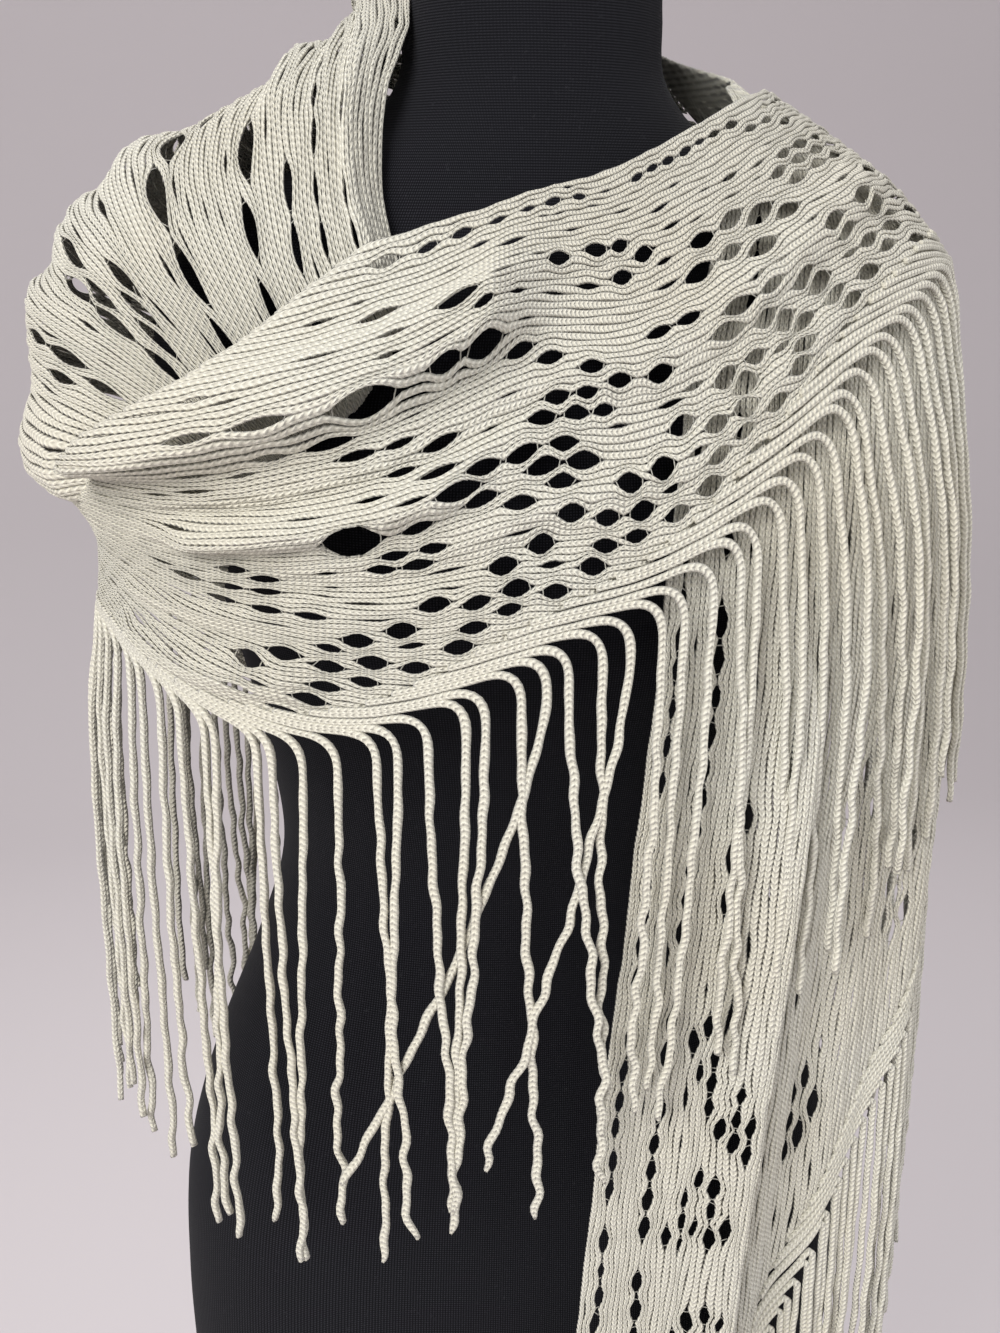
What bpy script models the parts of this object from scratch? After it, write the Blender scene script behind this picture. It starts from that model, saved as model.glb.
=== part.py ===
"""A fringed knit lace shawl, wound once round a limbless dress form on a pole and a round base."""

from math import atan2, ceil, cos, degrees, pi, radians, sin

import bmesh
import bpy
from mathutils import Vector
from mathutils.geometry import delaunay_2d_cdt

# Driving sizes, in metres and degrees. The front faces -Y, the wearer's left is +X, the floor is z = 0.
GAP = 0.0003
CLOTH_WALL = 0.0018
ROUNDNESS = 2.2
FRINGE_LENGTH = 0.235
CORD_WIDTH = 0.003
CORD_SECTIONS = 3
STRIP_DEPTH = 0.003
STRIP_GAP = 0.0007
HEM_SAMPLES = 120
HEM_STEP = 0.022
ROOT_DROP = 0.012
CORD_TAPER = 0.9
ARC_PER_DEGREE = 0.0031

# The dress form: height, half width, depth to the front, depth to the back.
FORM_RINGS = (
    (0.700, 0.174, 0.108, 0.120),
    (0.760, 0.181, 0.112, 0.126),
    (0.850, 0.184, 0.114, 0.128),
    (0.920, 0.179, 0.110, 0.121),
    (0.985, 0.160, 0.102, 0.107),
    (1.040, 0.138, 0.094, 0.094),
    (1.090, 0.123, 0.090, 0.088),
    (1.160, 0.130, 0.102, 0.093),
    (1.230, 0.146, 0.120, 0.103),
    (1.290, 0.160, 0.119, 0.111),
    (1.340, 0.170, 0.104, 0.1146),
    (1.370, 0.164, 0.088, 0.108),
    (1.395, 0.143, 0.075, 0.100),
    (1.415, 0.110, 0.066, 0.088),
    (1.432, 0.078, 0.061, 0.070),
    (1.450, 0.061, 0.058, 0.056),
    (1.480, 0.0565, 0.056, 0.052),
    (1.505, 0.0560, 0.056, 0.052),
)
FORM_SIDES = 32
NECK_CAP_HEIGHT = 0.010
POLE_RADIUS = 0.0125
FLANGE_RADIUS = 0.035
FLANGE_HEIGHT = 0.006
BASE_RADIUS = 0.170
BASE_RIM = 0.006
BASE_HEIGHT = 0.016

# The cape that the cloth hangs on: height, reach to the wearer's right, left, front and back.
CAPE_RINGS = (
    (0.30, 0.192, 0.192, 0.148, 0.150),
    (0.85, 0.193, 0.194, 0.150, 0.150),
    (1.00, 0.194, 0.208, 0.150, 0.150),
    (1.15, 0.194, 0.210, 0.150, 0.146),
    (1.23, 0.193, 0.206, 0.149, 0.136),
    (1.27, 0.194, 0.203, 0.145, 0.126),
    (1.30, 0.213, 0.200, 0.138, 0.119),
    (1.34, 0.221, 0.197, 0.122, 0.1165),
    (1.38, 0.214, 0.186, 0.103, 0.110),
    (1.405, 0.190, 0.165, 0.088, 0.102),
    (1.43, 0.150, 0.128, 0.075, 0.088),
    (1.45, 0.114, 0.094, 0.068, 0.074),
    (1.47, 0.084, 0.073, 0.064, 0.064),
    (1.50, 0.066, 0.064, 0.062, 0.060),
)

# Each stretch of cloth. Its stations run along the knit chains, in degrees round the form (0 front, 90 the
# wearer's left) or, on the hanging end, in metres of height. Each row is one line of the cloth, by its
# distance from the straight edge, with its height (or angle) at each station. "layer" lifts the cloth.
# A fold is a ridge (or, below zero, a trough) along the chains: start, end, distance from the edge at each,
# its reach towards the straight edge and away from it, and its height.
BACK = {
    "grid": (0.036, 0.027),
    "stations": (118, 135, 155, 175, 195, 215, 235, 255),
    "lines": (
        (0.00, (1.472, 1.474, 1.474, 1.473, 1.473, 1.475, 1.480, 1.484)),
        (0.07, (1.405, 1.412, 1.414, 1.412, 1.412, 1.418, 1.430, 1.443)),
        (0.15, (1.318, 1.330, 1.334, 1.332, 1.333, 1.342, 1.362, 1.392)),
        (0.23, (1.236, 1.248, 1.252, 1.250, 1.253, 1.264, 1.284, 1.318)),
        (0.32, (1.148, 1.158, 1.162, 1.160, 1.165, 1.178, 1.202, 1.236)),
        (0.46, (1.010, 1.018, 1.022, 1.020, 1.027, 1.042, 1.070, 1.110)),
    ),
    "layer": (0.0, 0.001, 0.0, 0.0, 0.0, 0.0, 0.001, 0.0),
    "folds": (
        (120, 205, 0.200, 0.240, 0.045, 0.030, 0.008),
        (150, 245, 0.330, 0.300, 0.045, 0.035, 0.009),
        (165, 248, 0.410, 0.390, 0.035, 0.030, 0.007),
    ),
}
RIGHT_SHOULDER = {
    "grid": (0.021, 0.016),
    "stations": (-120, -105, -95, -75, -60, -45, -30),
    "lines": (
        (0.00, (1.475, 1.484, 1.488, 1.486, 1.460, 1.405, 1.355)),
        (0.06, (1.438, 1.450, 1.455, 1.446, 1.410, 1.357, 1.310)),
        (0.12, (1.400, 1.418, 1.428, 1.412, 1.372, 1.325, 1.285)),
        (0.18, (1.352, 1.374, 1.386, 1.372, 1.342, 1.300, 1.265)),
        (0.24, (1.298, 1.318, 1.330, 1.325, 1.310, 1.280, 1.250)),
        (0.29, (1.248, 1.262, 1.270, 1.272, 1.270, 1.255, 1.232)),
        (0.36, (1.180, 1.194, 1.202, 1.206, 1.210, 1.200, 1.186)),
    ),
    "layer": (0.0, 0.0, 0.001, 0.002, 0.001, 0.0, 0.0),
    "folds": (
        (-112, -58, 0.055, 0.050, 0.016, 0.016, 0.006),
        (-108, -60, 0.145, 0.120, 0.024, 0.018, 0.007),
        (-106, -66, 0.200, 0.175, 0.016, 0.016, -0.006),
        (-108, -72, 0.240, 0.228, 0.020, 0.018, 0.005),
    ),
}
FRONT_WRAP = {
    "grid": (0.021, 0.0135),
    "stations": (-112, -90, -70, -50, -30, -10, 10, 30, 50, 70, 95),
    "lines": (
        (0.000, (1.368, 1.370, 1.371, 1.375, 1.387, 1.400, 1.410, 1.424, 1.438, 1.445, 1.441)),
        (0.055, (1.318, 1.318, 1.316, 1.320, 1.336, 1.359, 1.364, 1.381, 1.401, 1.415, 1.410)),
        (0.120, (1.292, 1.292, 1.288, 1.280, 1.284, 1.298, 1.303, 1.323, 1.351, 1.368, 1.361)),
        (0.200, (1.262, 1.260, 1.254, 1.238, 1.228, 1.231, 1.233, 1.252, 1.286, 1.310, 1.297)),
        (0.350, (1.216, 1.213, 1.206, 1.148, 1.116, 1.112, 1.107, 1.126, 1.154, 1.182, 1.172)),
    ),
    "layer": (0.004, 0.007, 0.011, 0.016, 0.016, 0.016, 0.016, 0.016, 0.015, 0.013, 0.012),
    "folds": (
        (-87, 34, 0.084, 0.058, 0.046, 0.022, 0.018),
        (-66, 8, 0.110, 0.090, 0.010, 0.010, -0.004),
        (-64, -4, 0.134, 0.116, 0.024, 0.013, 0.013),
        (-52, 2, 0.165, 0.150, 0.014, 0.016, -0.003),
        (-14, 84, 0.090, 0.062, 0.020, 0.016, 0.006),
        (-92, -34, 0.255, 0.200, 0.026, 0.020, 0.008),
    ),
}
THROWN_END = {
    "grid": (0.022, 0.017),
    "stations": (90, 110, 130, 150, 175),
    "lines": (
        (0.00, (1.443, 1.439, 1.427, 1.406, 1.372)),
        (0.06, (1.408, 1.397, 1.378, 1.350, 1.315)),
        (0.12, (1.362, 1.346, 1.325, 1.296, 1.262)),
    ),
    "layer": (0.012, 0.012, 0.011, 0.010, 0.009),
    "folds": (
        (88, 160, 0.035, 0.015, 0.014, 0.012, 0.004),
        (88, 140, 0.080, 0.055, 0.014, 0.012, 0.004),
    ),
}
HANGING_END = {
    "grid": (0.034, 0.017),
    "stations": (0.50, 0.70, 0.90, 1.08, 1.20, 1.29, 1.36, 1.41, 1.445, 1.47),
    "lines": (
        (0.00, (-4, -2, 1, 6, 10, 14, 24, 40, 62, 84)),
        (0.08, (26, 27, 29, 33, 36, 40, 50, 62, 76, 92)),
        (0.16, (52, 53, 54, 57, 60, 64, 72, 80, 90, 100)),
        (0.24, (78, 78, 78, 80, 83, 87, 92, 97, 102, 107)),
        (0.36, (118, 118, 118, 118, 118, 118, 118, 118, 118, 118)),
    ),
    "layer": (0.0, 0.0, 0.0, 0.0, 0.0, 0.0, 0.0, 0.001, 0.001, 0.0),
    "folds": (
        (0.56, 1.30, 0.075, 0.082, 0.030, 0.016, 0.012),
        (0.70, 1.26, 0.112, 0.122, 0.018, 0.022, -0.008),
        (0.85, 1.28, 0.170, 0.180, 0.024, 0.024, 0.009),
        (0.98, 1.27, 0.215, 0.235, 0.016, 0.016, -0.006),
    ),
}

# The curved fringe edge of each stretch: station along, distance from the straight edge.
BACK_HEM = (
    (118.3, 0.330), (130, 0.360), (145, 0.400), (160, 0.432), (175, 0.446),
    (190, 0.440), (205, 0.424), (220, 0.398), (235, 0.366), (249.8, 0.334),
)
WRAP_HEM = (
    (-109.8, 0.322), (-90, 0.300), (-72, 0.276), (-57, 0.257), (-40, 0.238), (-22, 0.207),
    (-5, 0.181), (10, 0.162), (30, 0.140), (50, 0.124), (71, 0.110), (94.8, 0.094),
)
THROWN_HEM = ((95.0, 0.094), (110, 0.078), (130, 0.056), (150, 0.032), (168, 0.009))
HANGING_HEM = (
    (0.565, 0.012), (0.64, 0.046), (0.74, 0.084), (0.84, 0.121), (0.94, 0.160),
    (1.02, 0.199), (1.08, 0.238), (1.12, 0.282), (1.14, 0.330), (1.146, 0.3595),
)

# Lace openings, in patches of staggered slits: station and distance of the middle, slits along, rows
# across, pitch along and across, slit length and width. A ladder is one row: start, end, distance, pitch,
# length, width.
WRAP_LACE = (
    (-2, 0.034, 4, 2, 0.017, 0.0090, 0.0120, 0.0048),
    (-20, 0.070, 3, 2, 0.019, 0.0100, 0.0150, 0.0055),
    (-4, 0.086, 3, 3, 0.018, 0.0095, 0.0140, 0.0055),
    (-22, 0.116, 4, 3, 0.017, 0.0095, 0.0135, 0.0055),
    (-14, 0.158, 4, 3, 0.018, 0.0100, 0.0140, 0.0060),
    (-43, 0.196, 4, 3, 0.018, 0.0100, 0.0145, 0.0060),
    (-66, 0.236, 3, 3, 0.017, 0.0095, 0.0130, 0.0052),
    (10, 0.122, 4, 3, 0.018, 0.0100, 0.0140, 0.0060),
    (36, 0.098, 4, 3, 0.018, 0.0095, 0.0140, 0.0058),
    (28, 0.052, 4, 2, 0.017, 0.0095, 0.0135, 0.0055),
    (60, 0.070, 4, 4, 0.018, 0.0100, 0.0140, 0.0058),
    (56, 0.026, 3, 2, 0.017, 0.0095, 0.0130, 0.0052),
)
SHOULDER_LACE = (
    (-80, 0.098, 3, 3, 0.026, 0.0120, 0.0210, 0.0075),
    (-66, 0.068, 3, 2, 0.024, 0.0110, 0.0190, 0.0065),
    (-78, 0.165, 3, 3, 0.024, 0.0110, 0.0185, 0.0065),
    (-84, 0.222, 3, 2, 0.021, 0.0105, 0.0160, 0.0060),
)
HANGING_LACE = (
    (0.90, 0.062, 4, 3, 0.018, 0.0095, 0.0140, 0.0056),
    (1.02, 0.120, 4, 3, 0.018, 0.0100, 0.0140, 0.0058),
    (0.78, 0.058, 3, 3, 0.018, 0.0100, 0.0140, 0.0058),
    (1.10, 0.196, 4, 3, 0.018, 0.0100, 0.0140, 0.0060),
    (1.16, 0.266, 3, 3, 0.018, 0.0100, 0.0140, 0.0060),
)
BACK_LACE = (
    (140, 0.330, 4, 3, 0.020, 0.0105, 0.0150, 0.0062),
    (162, 0.385, 4, 3, 0.020, 0.0105, 0.0150, 0.0062),
    (190, 0.396, 4, 3, 0.020, 0.0105, 0.0150, 0.0062),
    (218, 0.356, 4, 3, 0.020, 0.0105, 0.0150, 0.0062),
)
THROWN_LACE = ((112, 0.042, 4, 3, 0.018, 0.0100, 0.0140, 0.0058),)
BIG_EYE = (-33, 0.148, 0.024, 0.0125)
HANGING_LADDER = (0.70, 1.22, 0.028, 0.0200, 0.0120, 0.0046)
WRAP_LADDER = (-34, 22, 0.0125, 0.0200, 0.0120, 0.0044)
HOLE_CLEARANCE = 0.004

# Each fringe: its stretch and edge, its cords, and how far off the cape they hang.
FRINGES = (
    ("fringe_front_wrap", FRONT_WRAP, WRAP_HEM, 38, 0.019),
    ("fringe_thrown_end", THROWN_END, THROWN_HEM, 10, 0.012),
    ("fringe_hanging_end", HANGING_END, HANGING_HEM, 28, 0.0),
    ("fringe_back", BACK, BACK_HEM, 26, 0.0),
)

COLOURS = {
    "shawl_yarn": ((0.62, 0.60, 0.50), 0.85, 0.0),
    "form_cover": ((0.008, 0.008, 0.012), 0.80, 0.0),
    "stand_metal": ((0.030, 0.030, 0.033), 0.35, 1.0),
    "neck_cap": ((0.020, 0.020, 0.024), 0.45, 0.0),
}


def clear_scene():
    for thing in list(bpy.data.objects):
        bpy.data.objects.remove(thing, do_unlink=True)


def material(name):
    colour, roughness, metallic = COLOURS[name]
    made = bpy.data.materials.get(name) or bpy.data.materials.new(name)
    made.use_nodes = True
    shader = made.node_tree.nodes["Principled BSDF"]
    shader.inputs["Base Color"].default_value = (*colour, 1.0)
    shader.inputs["Roughness"].default_value = roughness
    shader.inputs["Metallic"].default_value = metallic
    return made


def add_object(name, mesh, material_name, collection):
    thing = bpy.data.objects.new(name, mesh)
    mesh.materials.clear()
    mesh.materials.append(material(material_name))
    collection.objects.link(thing)
    return thing


def smooth_at(stations, values, at):
    """A smooth curve through the values, level beyond its ends."""
    at = min(max(at, stations[0]), stations[-1])
    steps = [b - a for a, b in zip(stations, stations[1:])]
    slopes = [(b - a) / step for a, b, step in zip(values, values[1:], steps)]
    index = 0
    while index < len(steps) - 1 and at > stations[index + 1]:
        index += 1

    def lean(i):
        if i == 0:
            return slopes[0]
        if i == len(steps):
            return slopes[-1]
        return (slopes[i - 1] * steps[i] + slopes[i] * steps[i - 1]) / (steps[i] + steps[i - 1])

    t = (at - stations[index]) / steps[index]
    start = values[index] * (1 + 2 * t) * (1 - t) ** 2 + steps[index] * lean(index) * t * (1 - t) ** 2
    end = values[index + 1] * t * t * (3 - 2 * t) - steps[index] * lean(index + 1) * t * t * (1 - t)
    return start + end


def column(rows, index):
    return [row[index] for row in rows]


def ring_radius(angle, side, depth):
    across = abs(sin(angle)) / side
    along = abs(cos(angle)) / depth
    return (across**ROUNDNESS + along**ROUNDNESS) ** (-1 / ROUNDNESS)


def cape_point(degree, height):
    """The point of the cape at an angle from the front and a height."""
    angle = radians(degree)
    heights = column(CAPE_RINGS, 0)
    side = smooth_at(heights, column(CAPE_RINGS, 1 if sin(angle) < 0 else 2), height)
    depth = smooth_at(heights, column(CAPE_RINGS, 3 if cos(angle) > 0 else 4), height)
    radius = ring_radius(angle, side, depth)
    return Vector((radius * sin(angle), -radius * cos(angle), height))


def cape_normal(degree, height):
    round_way = cape_point(degree + 1.5, height) - cape_point(degree - 1.5, height)
    up_way = cape_point(degree, height + 0.004) - cape_point(degree, height - 0.004)
    return round_way.cross(up_way).normalized()


def ridge(distance, reach):
    share = min(abs(distance) / reach, 1.0)
    return 0.5 + 0.5 * cos(pi * share)


def fold_relief(sheet, along, across):
    """How far the folds lift the cloth at a place, each fading in and out along its length."""
    total = 0.0
    for start, end, from_edge, to_edge, above, below, height in sheet["folds"]:
        share = (along - start) / (end - start)
        if 0 < share < 1:
            middle = from_edge + (to_edge - from_edge) * share
            reach = above if across < middle else below
            total += height * min(1.0, 3.0 * sin(pi * share) ** 2) * ridge(across - middle, reach)
    return total


def cloth_point(sheet, along, across):
    """The middle of the cloth wall, at a station along the chains and a distance from the straight edge."""
    distances = column(sheet["lines"], 0)
    values = [smooth_at(sheet["stations"], line, along) for line in column(sheet["lines"], 1)]
    found = smooth_at(distances, values, across)
    degree, height = (found, along) if sheet is HANGING_END else (along, found)
    out = smooth_at(sheet["stations"], sheet["layer"], along) + fold_relief(sheet, along, across)
    return cape_point(degree, height) + cape_normal(degree, height) * out


def metres_along(sheet, along):
    return along if sheet is HANGING_END else along * ARC_PER_DEGREE


def station_at(sheet, metres):
    return metres if sheet is HANGING_END else metres / ARC_PER_DEGREE


def hem_distance(hem, along):
    return smooth_at(column(hem, 0), column(hem, 1), along)


def inside(point, loop):
    """Whether a flat point lies inside a closed loop."""
    found = False
    for (ax, ay), (bx, by) in zip(loop, loop[1:] + loop[:1]):
        if (ay > point[1]) != (by > point[1]) and point[0] < ax + (point[1] - ay) * (bx - ax) / (by - ay):
            found = not found
    return found


def slit(middle, length, width):
    """A lens-shaped opening with its long way along the chains."""
    reach = length / 2
    half = width / 2
    corners = ((-1, 0), (-0.4, -1), (0.4, -1), (1, 0), (0.4, 1), (-0.4, 1))
    return [(middle[0] + x * reach, middle[1] + y * half) for x, y in corners]


def lace_slits(sheet, patches, ladder=None, eye=None):
    """The openings of a stretch: staggered patches narrowing to a rhombus, a ladder row and a large eye."""
    found = []
    if eye:
        station, across, length, width = eye
        found.append(slit((metres_along(sheet, station), across), length, width))
    for station, across, count, rows, pitch, row_pitch, length, width in patches:
        middle = metres_along(sheet, station)
        for row in range(rows):
            step = row - (rows - 1) / 2
            here = count - (abs(row - rows // 2) % 2)
            for index in range(here):
                place = middle + (index - (here - 1) / 2) * pitch
                found.append(slit((place, across + step * row_pitch), length, width))
    if ladder:
        start, end, across, pitch, length, width = ladder
        span = metres_along(sheet, end) - metres_along(sheet, start)
        for index in range(int(span / pitch)):
            place = metres_along(sheet, start) + index * pitch
            found.append(slit((place, across), length, width))
    return found


def grown(loop, by):
    middle = (sum(p[0] for p in loop) / len(loop), sum(p[1] for p in loop) / len(loop))
    half_along = max(p[0] for p in loop) - middle[0] + by
    half_across = max(p[1] for p in loop) - middle[1] + by
    corners = ((-1, -1), (1, -1), (1, 1), (-1, 1))
    return [(middle[0] + x * half_along, middle[1] + y * half_across) for x, y in corners]


def clear_of(loop, outline, kept):
    """Whether an opening lies whole on the cloth and apart from the ones already cut."""
    around = grown(loop, HOLE_CLEARANCE)
    if not all(inside(corner, outline) for corner in around):
        return False
    low, high = around[0], around[2]
    for other in kept:
        other_low, other_high = grown(other, 0)[0], grown(other, 0)[2]
        apart_along = other_high[0] < low[0] or other_low[0] > high[0]
        apart_across = other_high[1] < low[1] or other_low[1] > high[1]
        if not apart_along and not apart_across and not staggered(loop, other):
            return False
    return True


def staggered(loop, other):
    """Two lens shapes that lie point to side, with a strip of knit between them."""
    along = abs(sum(p[0] for p in loop) - sum(p[0] for p in other)) / 6
    across = abs(sum(p[1] for p in loop) - sum(p[1] for p in other)) / 6
    return across > 0.0075 or along > 0.0155


def outline_points(corners, step):
    """A closed outline in flat metres, with a point at least every step."""
    points = []
    for (ax, ay), (bx, by) in zip(corners, corners[1:] + corners[:1]):
        length = ((bx - ax) ** 2 + (by - ay) ** 2) ** 0.5
        count = max(1, ceil(length / step - 0.2))
        for index in range(count):
            share = index / count
            points.append((ax + (bx - ax) * share, ay + (by - ay) * share))
    return points


def flat_layout(outline, slits, grid):
    """Triangles over the flat outline, with the slits left open."""
    step_along, step_across = grid
    points = list(outline)
    edges = [(i, (i + 1) % len(outline)) for i in range(len(outline))]
    for loop in slits:
        first = len(points)
        points.extend(loop)
        edges.extend((first + i, first + (i + 1) % len(loop)) for i in range(len(loop)))
    low = [min(p[i] for p in outline) for i in (0, 1)]
    high = [max(p[i] for p in outline) for i in (0, 1)]
    around = [grown(loop, 0.4 * step_across) for loop in slits]
    for row in range(1, int((high[1] - low[1]) / step_across) + 1):
        for step in range(int((high[0] - low[0]) / step_along) + 1):
            spot = (low[0] + (step + 0.5 * (row % 2)) * step_along, low[1] + row * step_across)
            near_edge = not all(
                inside((spot[0] + x * step_along * 0.4, spot[1] + y * step_across * 0.45), outline)
                for x, y in ((-1, 0), (1, 0), (0, -1), (0, 1))
            )
            if not near_edge and not any(inside(spot, loop) for loop in around):
                points.append(spot)
    made = delaunay_2d_cdt([Vector(p) for p in points], edges, [], 0, 1e-7)
    corners = [tuple(p) for p in made[0]]
    faces = []
    for face in made[2]:
        middle = (sum(corners[i][0] for i in face) / 3, sum(corners[i][1] for i in face) / 3)
        if inside(middle, outline) and not any(inside(middle, loop) for loop in slits):
            faces.append(tuple(face))
    return corners, faces


def cloth(name, sheet, corners, lace, collection, ladder=None, eye=None):
    """A stretch of knit: its flat outline with lace slits, laid on the cape and given its wall."""
    outline = outline_points(corners, sheet["grid"][0])
    slits = []
    for loop in lace_slits(sheet, lace, ladder, eye):
        if clear_of(loop, outline, slits):
            slits.append(loop)
    flat, faces = flat_layout(outline, slits, sheet["grid"])
    places = [cloth_point(sheet, station_at(sheet, p[0]), p[1]) for p in flat]
    mesh = bpy.data.meshes.new(name)
    mesh.from_pydata(places, [], faces)
    shape = bmesh.new()
    shape.from_mesh(mesh)
    loose = [v for v in shape.verts if not v.link_faces]
    bmesh.ops.delete(shape, geom=loose, context="VERTS")
    shape.normal_update()
    outward = sum(face.normal.dot(face.calc_center_median().xy.to_3d()) for face in shape.faces)
    if outward < 0:
        bmesh.ops.reverse_faces(shape, faces=shape.faces)
    shape.to_mesh(mesh)
    shape.free()
    thing = add_object(name, mesh, "shawl_yarn", collection)
    wall = thing.modifiers.new("wall", "SOLIDIFY")
    wall.thickness = CLOTH_WALL
    wall.offset = 0.0
    mesh.shade_smooth()


def hem_point(sheet, hem, station):
    return cloth_point(sheet, station, hem_distance(hem, station))


def hem_lengths(sheet, hem):
    """Stations down a fringe edge, each with the length of edge before it."""
    first, last = hem[0][0], hem[-1][0]
    stations = [first + (last - first) * i / HEM_SAMPLES for i in range(HEM_SAMPLES + 1)]
    points = [hem_point(sheet, hem, station) for station in stations]
    lengths = [0.0]
    for a, b in zip(points, points[1:]):
        lengths.append(lengths[-1] + (b - a).length)
    return stations, lengths


def hem_corners(sheet, hem, step):
    """Flat points down a curved fringe edge, evenly spaced."""
    stations, lengths = hem_lengths(sheet, hem)
    count = max(2, round(lengths[-1] / step))
    spots = [smooth_at(lengths, stations, lengths[-1] * i / count) for i in range(count + 1)]
    return [(metres_along(sheet, spot), hem_distance(hem, spot)) for spot in spots]


def hem_section(sheet, hem, station):
    """The strip's four corners at a station: past the edge, square to it, inner pair and outer pair."""
    here = hem_point(sheet, hem, station)
    reach = (hem[-1][0] - hem[0][0]) / HEM_SAMPLES
    tangent = (hem_point(sheet, hem, station + reach) - hem_point(sheet, hem, station - reach)).normalized()
    edge = hem_distance(hem, station)
    beyond = cloth_point(sheet, station, edge + 0.004) - here
    out = tangent.cross(cape_normal(degrees(atan2(here.x, -here.y)), here.z)).normalized()
    if out.dot(beyond) < 0:
        out = -out
    lifted = out.cross(tangent).normalized() * (CORD_WIDTH / 2)
    if lifted.dot(here.xy.to_3d()) < 0:
        lifted = -lifted
    near = here + out * STRIP_GAP
    far = near + out * STRIP_DEPTH
    return near + lifted, far + lifted, far - lifted, near - lifted


def build_back(collection):
    start, end = BACK_HEM[0][0], BACK_HEM[-1][0]
    corners = [(metres_along(BACK, end), 0.0), (metres_along(BACK, start), 0.0)]
    corners += hem_corners(BACK, BACK_HEM, HEM_STEP)
    cloth("shawl_back", BACK, corners, BACK_LACE, collection)


def build_right_shoulder(collection):
    tucked = ((-33, 0.0), (-42, 0.06), (-54, 0.12), (-63, 0.185), (-66, 0.245), (-67, 0.305), (-110, 0.325))
    corners = [(metres_along(RIGHT_SHOULDER, -110), 0.0)]
    corners += [(metres_along(RIGHT_SHOULDER, s), v) for s, v in tucked]
    cloth("shawl_right_shoulder", RIGHT_SHOULDER, corners, SHOULDER_LACE, collection)


def build_front_wrap(collection):
    folded = ((94.8, 0.0), (-39, 0.0), (-46, 0.014), (-55, 0.040), (-63, 0.058), (-70, 0.104), (-90, 0.150))
    corners = [(metres_along(FRONT_WRAP, s), v) for s, v in folded]
    corners.append((metres_along(FRONT_WRAP, -109.8), 0.165))
    corners += hem_corners(FRONT_WRAP, WRAP_HEM, HEM_STEP)
    cloth("shawl_front_wrap", FRONT_WRAP, corners, WRAP_LACE, collection, WRAP_LADDER, BIG_EYE)


def build_thrown_end(collection):
    corners = [(metres_along(THROWN_END, s), 0.0) for s in (172, 95.0)]
    corners += hem_corners(THROWN_END, THROWN_HEM, HEM_STEP)
    cloth("shawl_thrown_end", THROWN_END, corners, THROWN_LACE, collection)


def build_hanging_end(collection):
    corners = [(0.565, 0.0)]
    corners += hem_corners(HANGING_END, HANGING_HEM, HEM_STEP)
    corners += [(1.468, 0.3595), (1.468, 0.0)]
    cloth("shawl_hanging_end", HANGING_END, corners, HANGING_LACE, collection, HANGING_LADDER)


def ring_loft(rings):
    """A closed body through rings of points, with flat ends."""
    shape = bmesh.new()
    layers = [[shape.verts.new(p) for p in ring] for ring in rings]
    for low, high in zip(layers, layers[1:]):
        for i in range(len(low)):
            j = (i + 1) % len(low)
            shape.faces.new((low[i], low[j], high[j], high[i]))
    shape.faces.new(layers[0][::-1])
    shape.faces.new(layers[-1])
    bmesh.ops.recalc_face_normals(shape, faces=shape.faces)
    mesh = bpy.data.meshes.new("loft")
    shape.to_mesh(mesh)
    shape.free()
    return mesh


def form_ring(height, shrink=0.0):
    heights = column(FORM_RINGS, 0)
    half_width, front, back = (smooth_at(heights, column(FORM_RINGS, i), height) - shrink for i in (1, 2, 3))
    ring = []
    for step in range(FORM_SIDES):
        angle = 2 * pi * step / FORM_SIDES
        radius = ring_radius(angle, half_width, front if cos(angle) > 0 else back)
        ring.append(Vector((radius * sin(angle), -radius * cos(angle), height)))
    return ring


def build_form(collection):
    mesh = ring_loft([form_ring(height) for height in column(FORM_RINGS, 0)])
    mesh.shade_smooth()
    mesh.set_sharp_from_angle(angle=radians(50))
    add_object("form_torso", mesh, "form_cover", collection)
    neck_top = FORM_RINGS[-1][0]
    cap_rings = ((0.0, 0.001), (0.6, 0.001), (1.0, 0.006))
    cap = ring_loft([
        [p + Vector((0, 0, GAP + share * NECK_CAP_HEIGHT)) for p in form_ring(neck_top, shrink)]
        for share, shrink in cap_rings
    ])
    cap.shade_smooth()
    cap.set_sharp_from_angle(angle=radians(35))
    add_object("neck_cap", cap, "neck_cap", collection)


def turned(name, profile, sides, material_name, collection):
    """A turned body from its outline, given as radius and height from the top down."""
    shape = bmesh.new()
    points = [shape.verts.new((radius, 0, height)) for radius, height in profile]
    for a, b in zip(points, points[1:]):
        shape.edges.new((a, b))
    mesh = bpy.data.meshes.new(name)
    shape.to_mesh(mesh)
    shape.free()
    thing = add_object(name, mesh, material_name, collection)
    spin = thing.modifiers.new("turn", "SCREW")
    spin.steps = sides
    spin.render_steps = sides
    spin.use_merge_vertices = True
    spin.merge_threshold = 0.00001


def build_stand(collection):
    pole_top = FORM_RINGS[0][0] - GAP
    pole = (
        (0.0, pole_top),
        (FLANGE_RADIUS, pole_top),
        (FLANGE_RADIUS, pole_top - FLANGE_HEIGHT),
        (POLE_RADIUS, pole_top - FLANGE_HEIGHT),
        (POLE_RADIUS, BASE_HEIGHT + GAP),
        (0.0, BASE_HEIGHT + GAP),
    )
    turned("stand_pole", pole, 20, "stand_metal", collection)
    base = (
        (0.0, BASE_HEIGHT),
        (2 * POLE_RADIUS, BASE_HEIGHT),
        (0.6 * BASE_RADIUS, BASE_RIM + 0.5 * (BASE_HEIGHT - BASE_RIM)),
        (BASE_RADIUS - 0.002, BASE_RIM),
        (BASE_RADIUS, BASE_RIM - 0.002),
        (BASE_RADIUS, 0.0),
        (0.0, 0.0),
    )
    turned("stand_base", base, 36, "stand_metal", collection)


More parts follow.
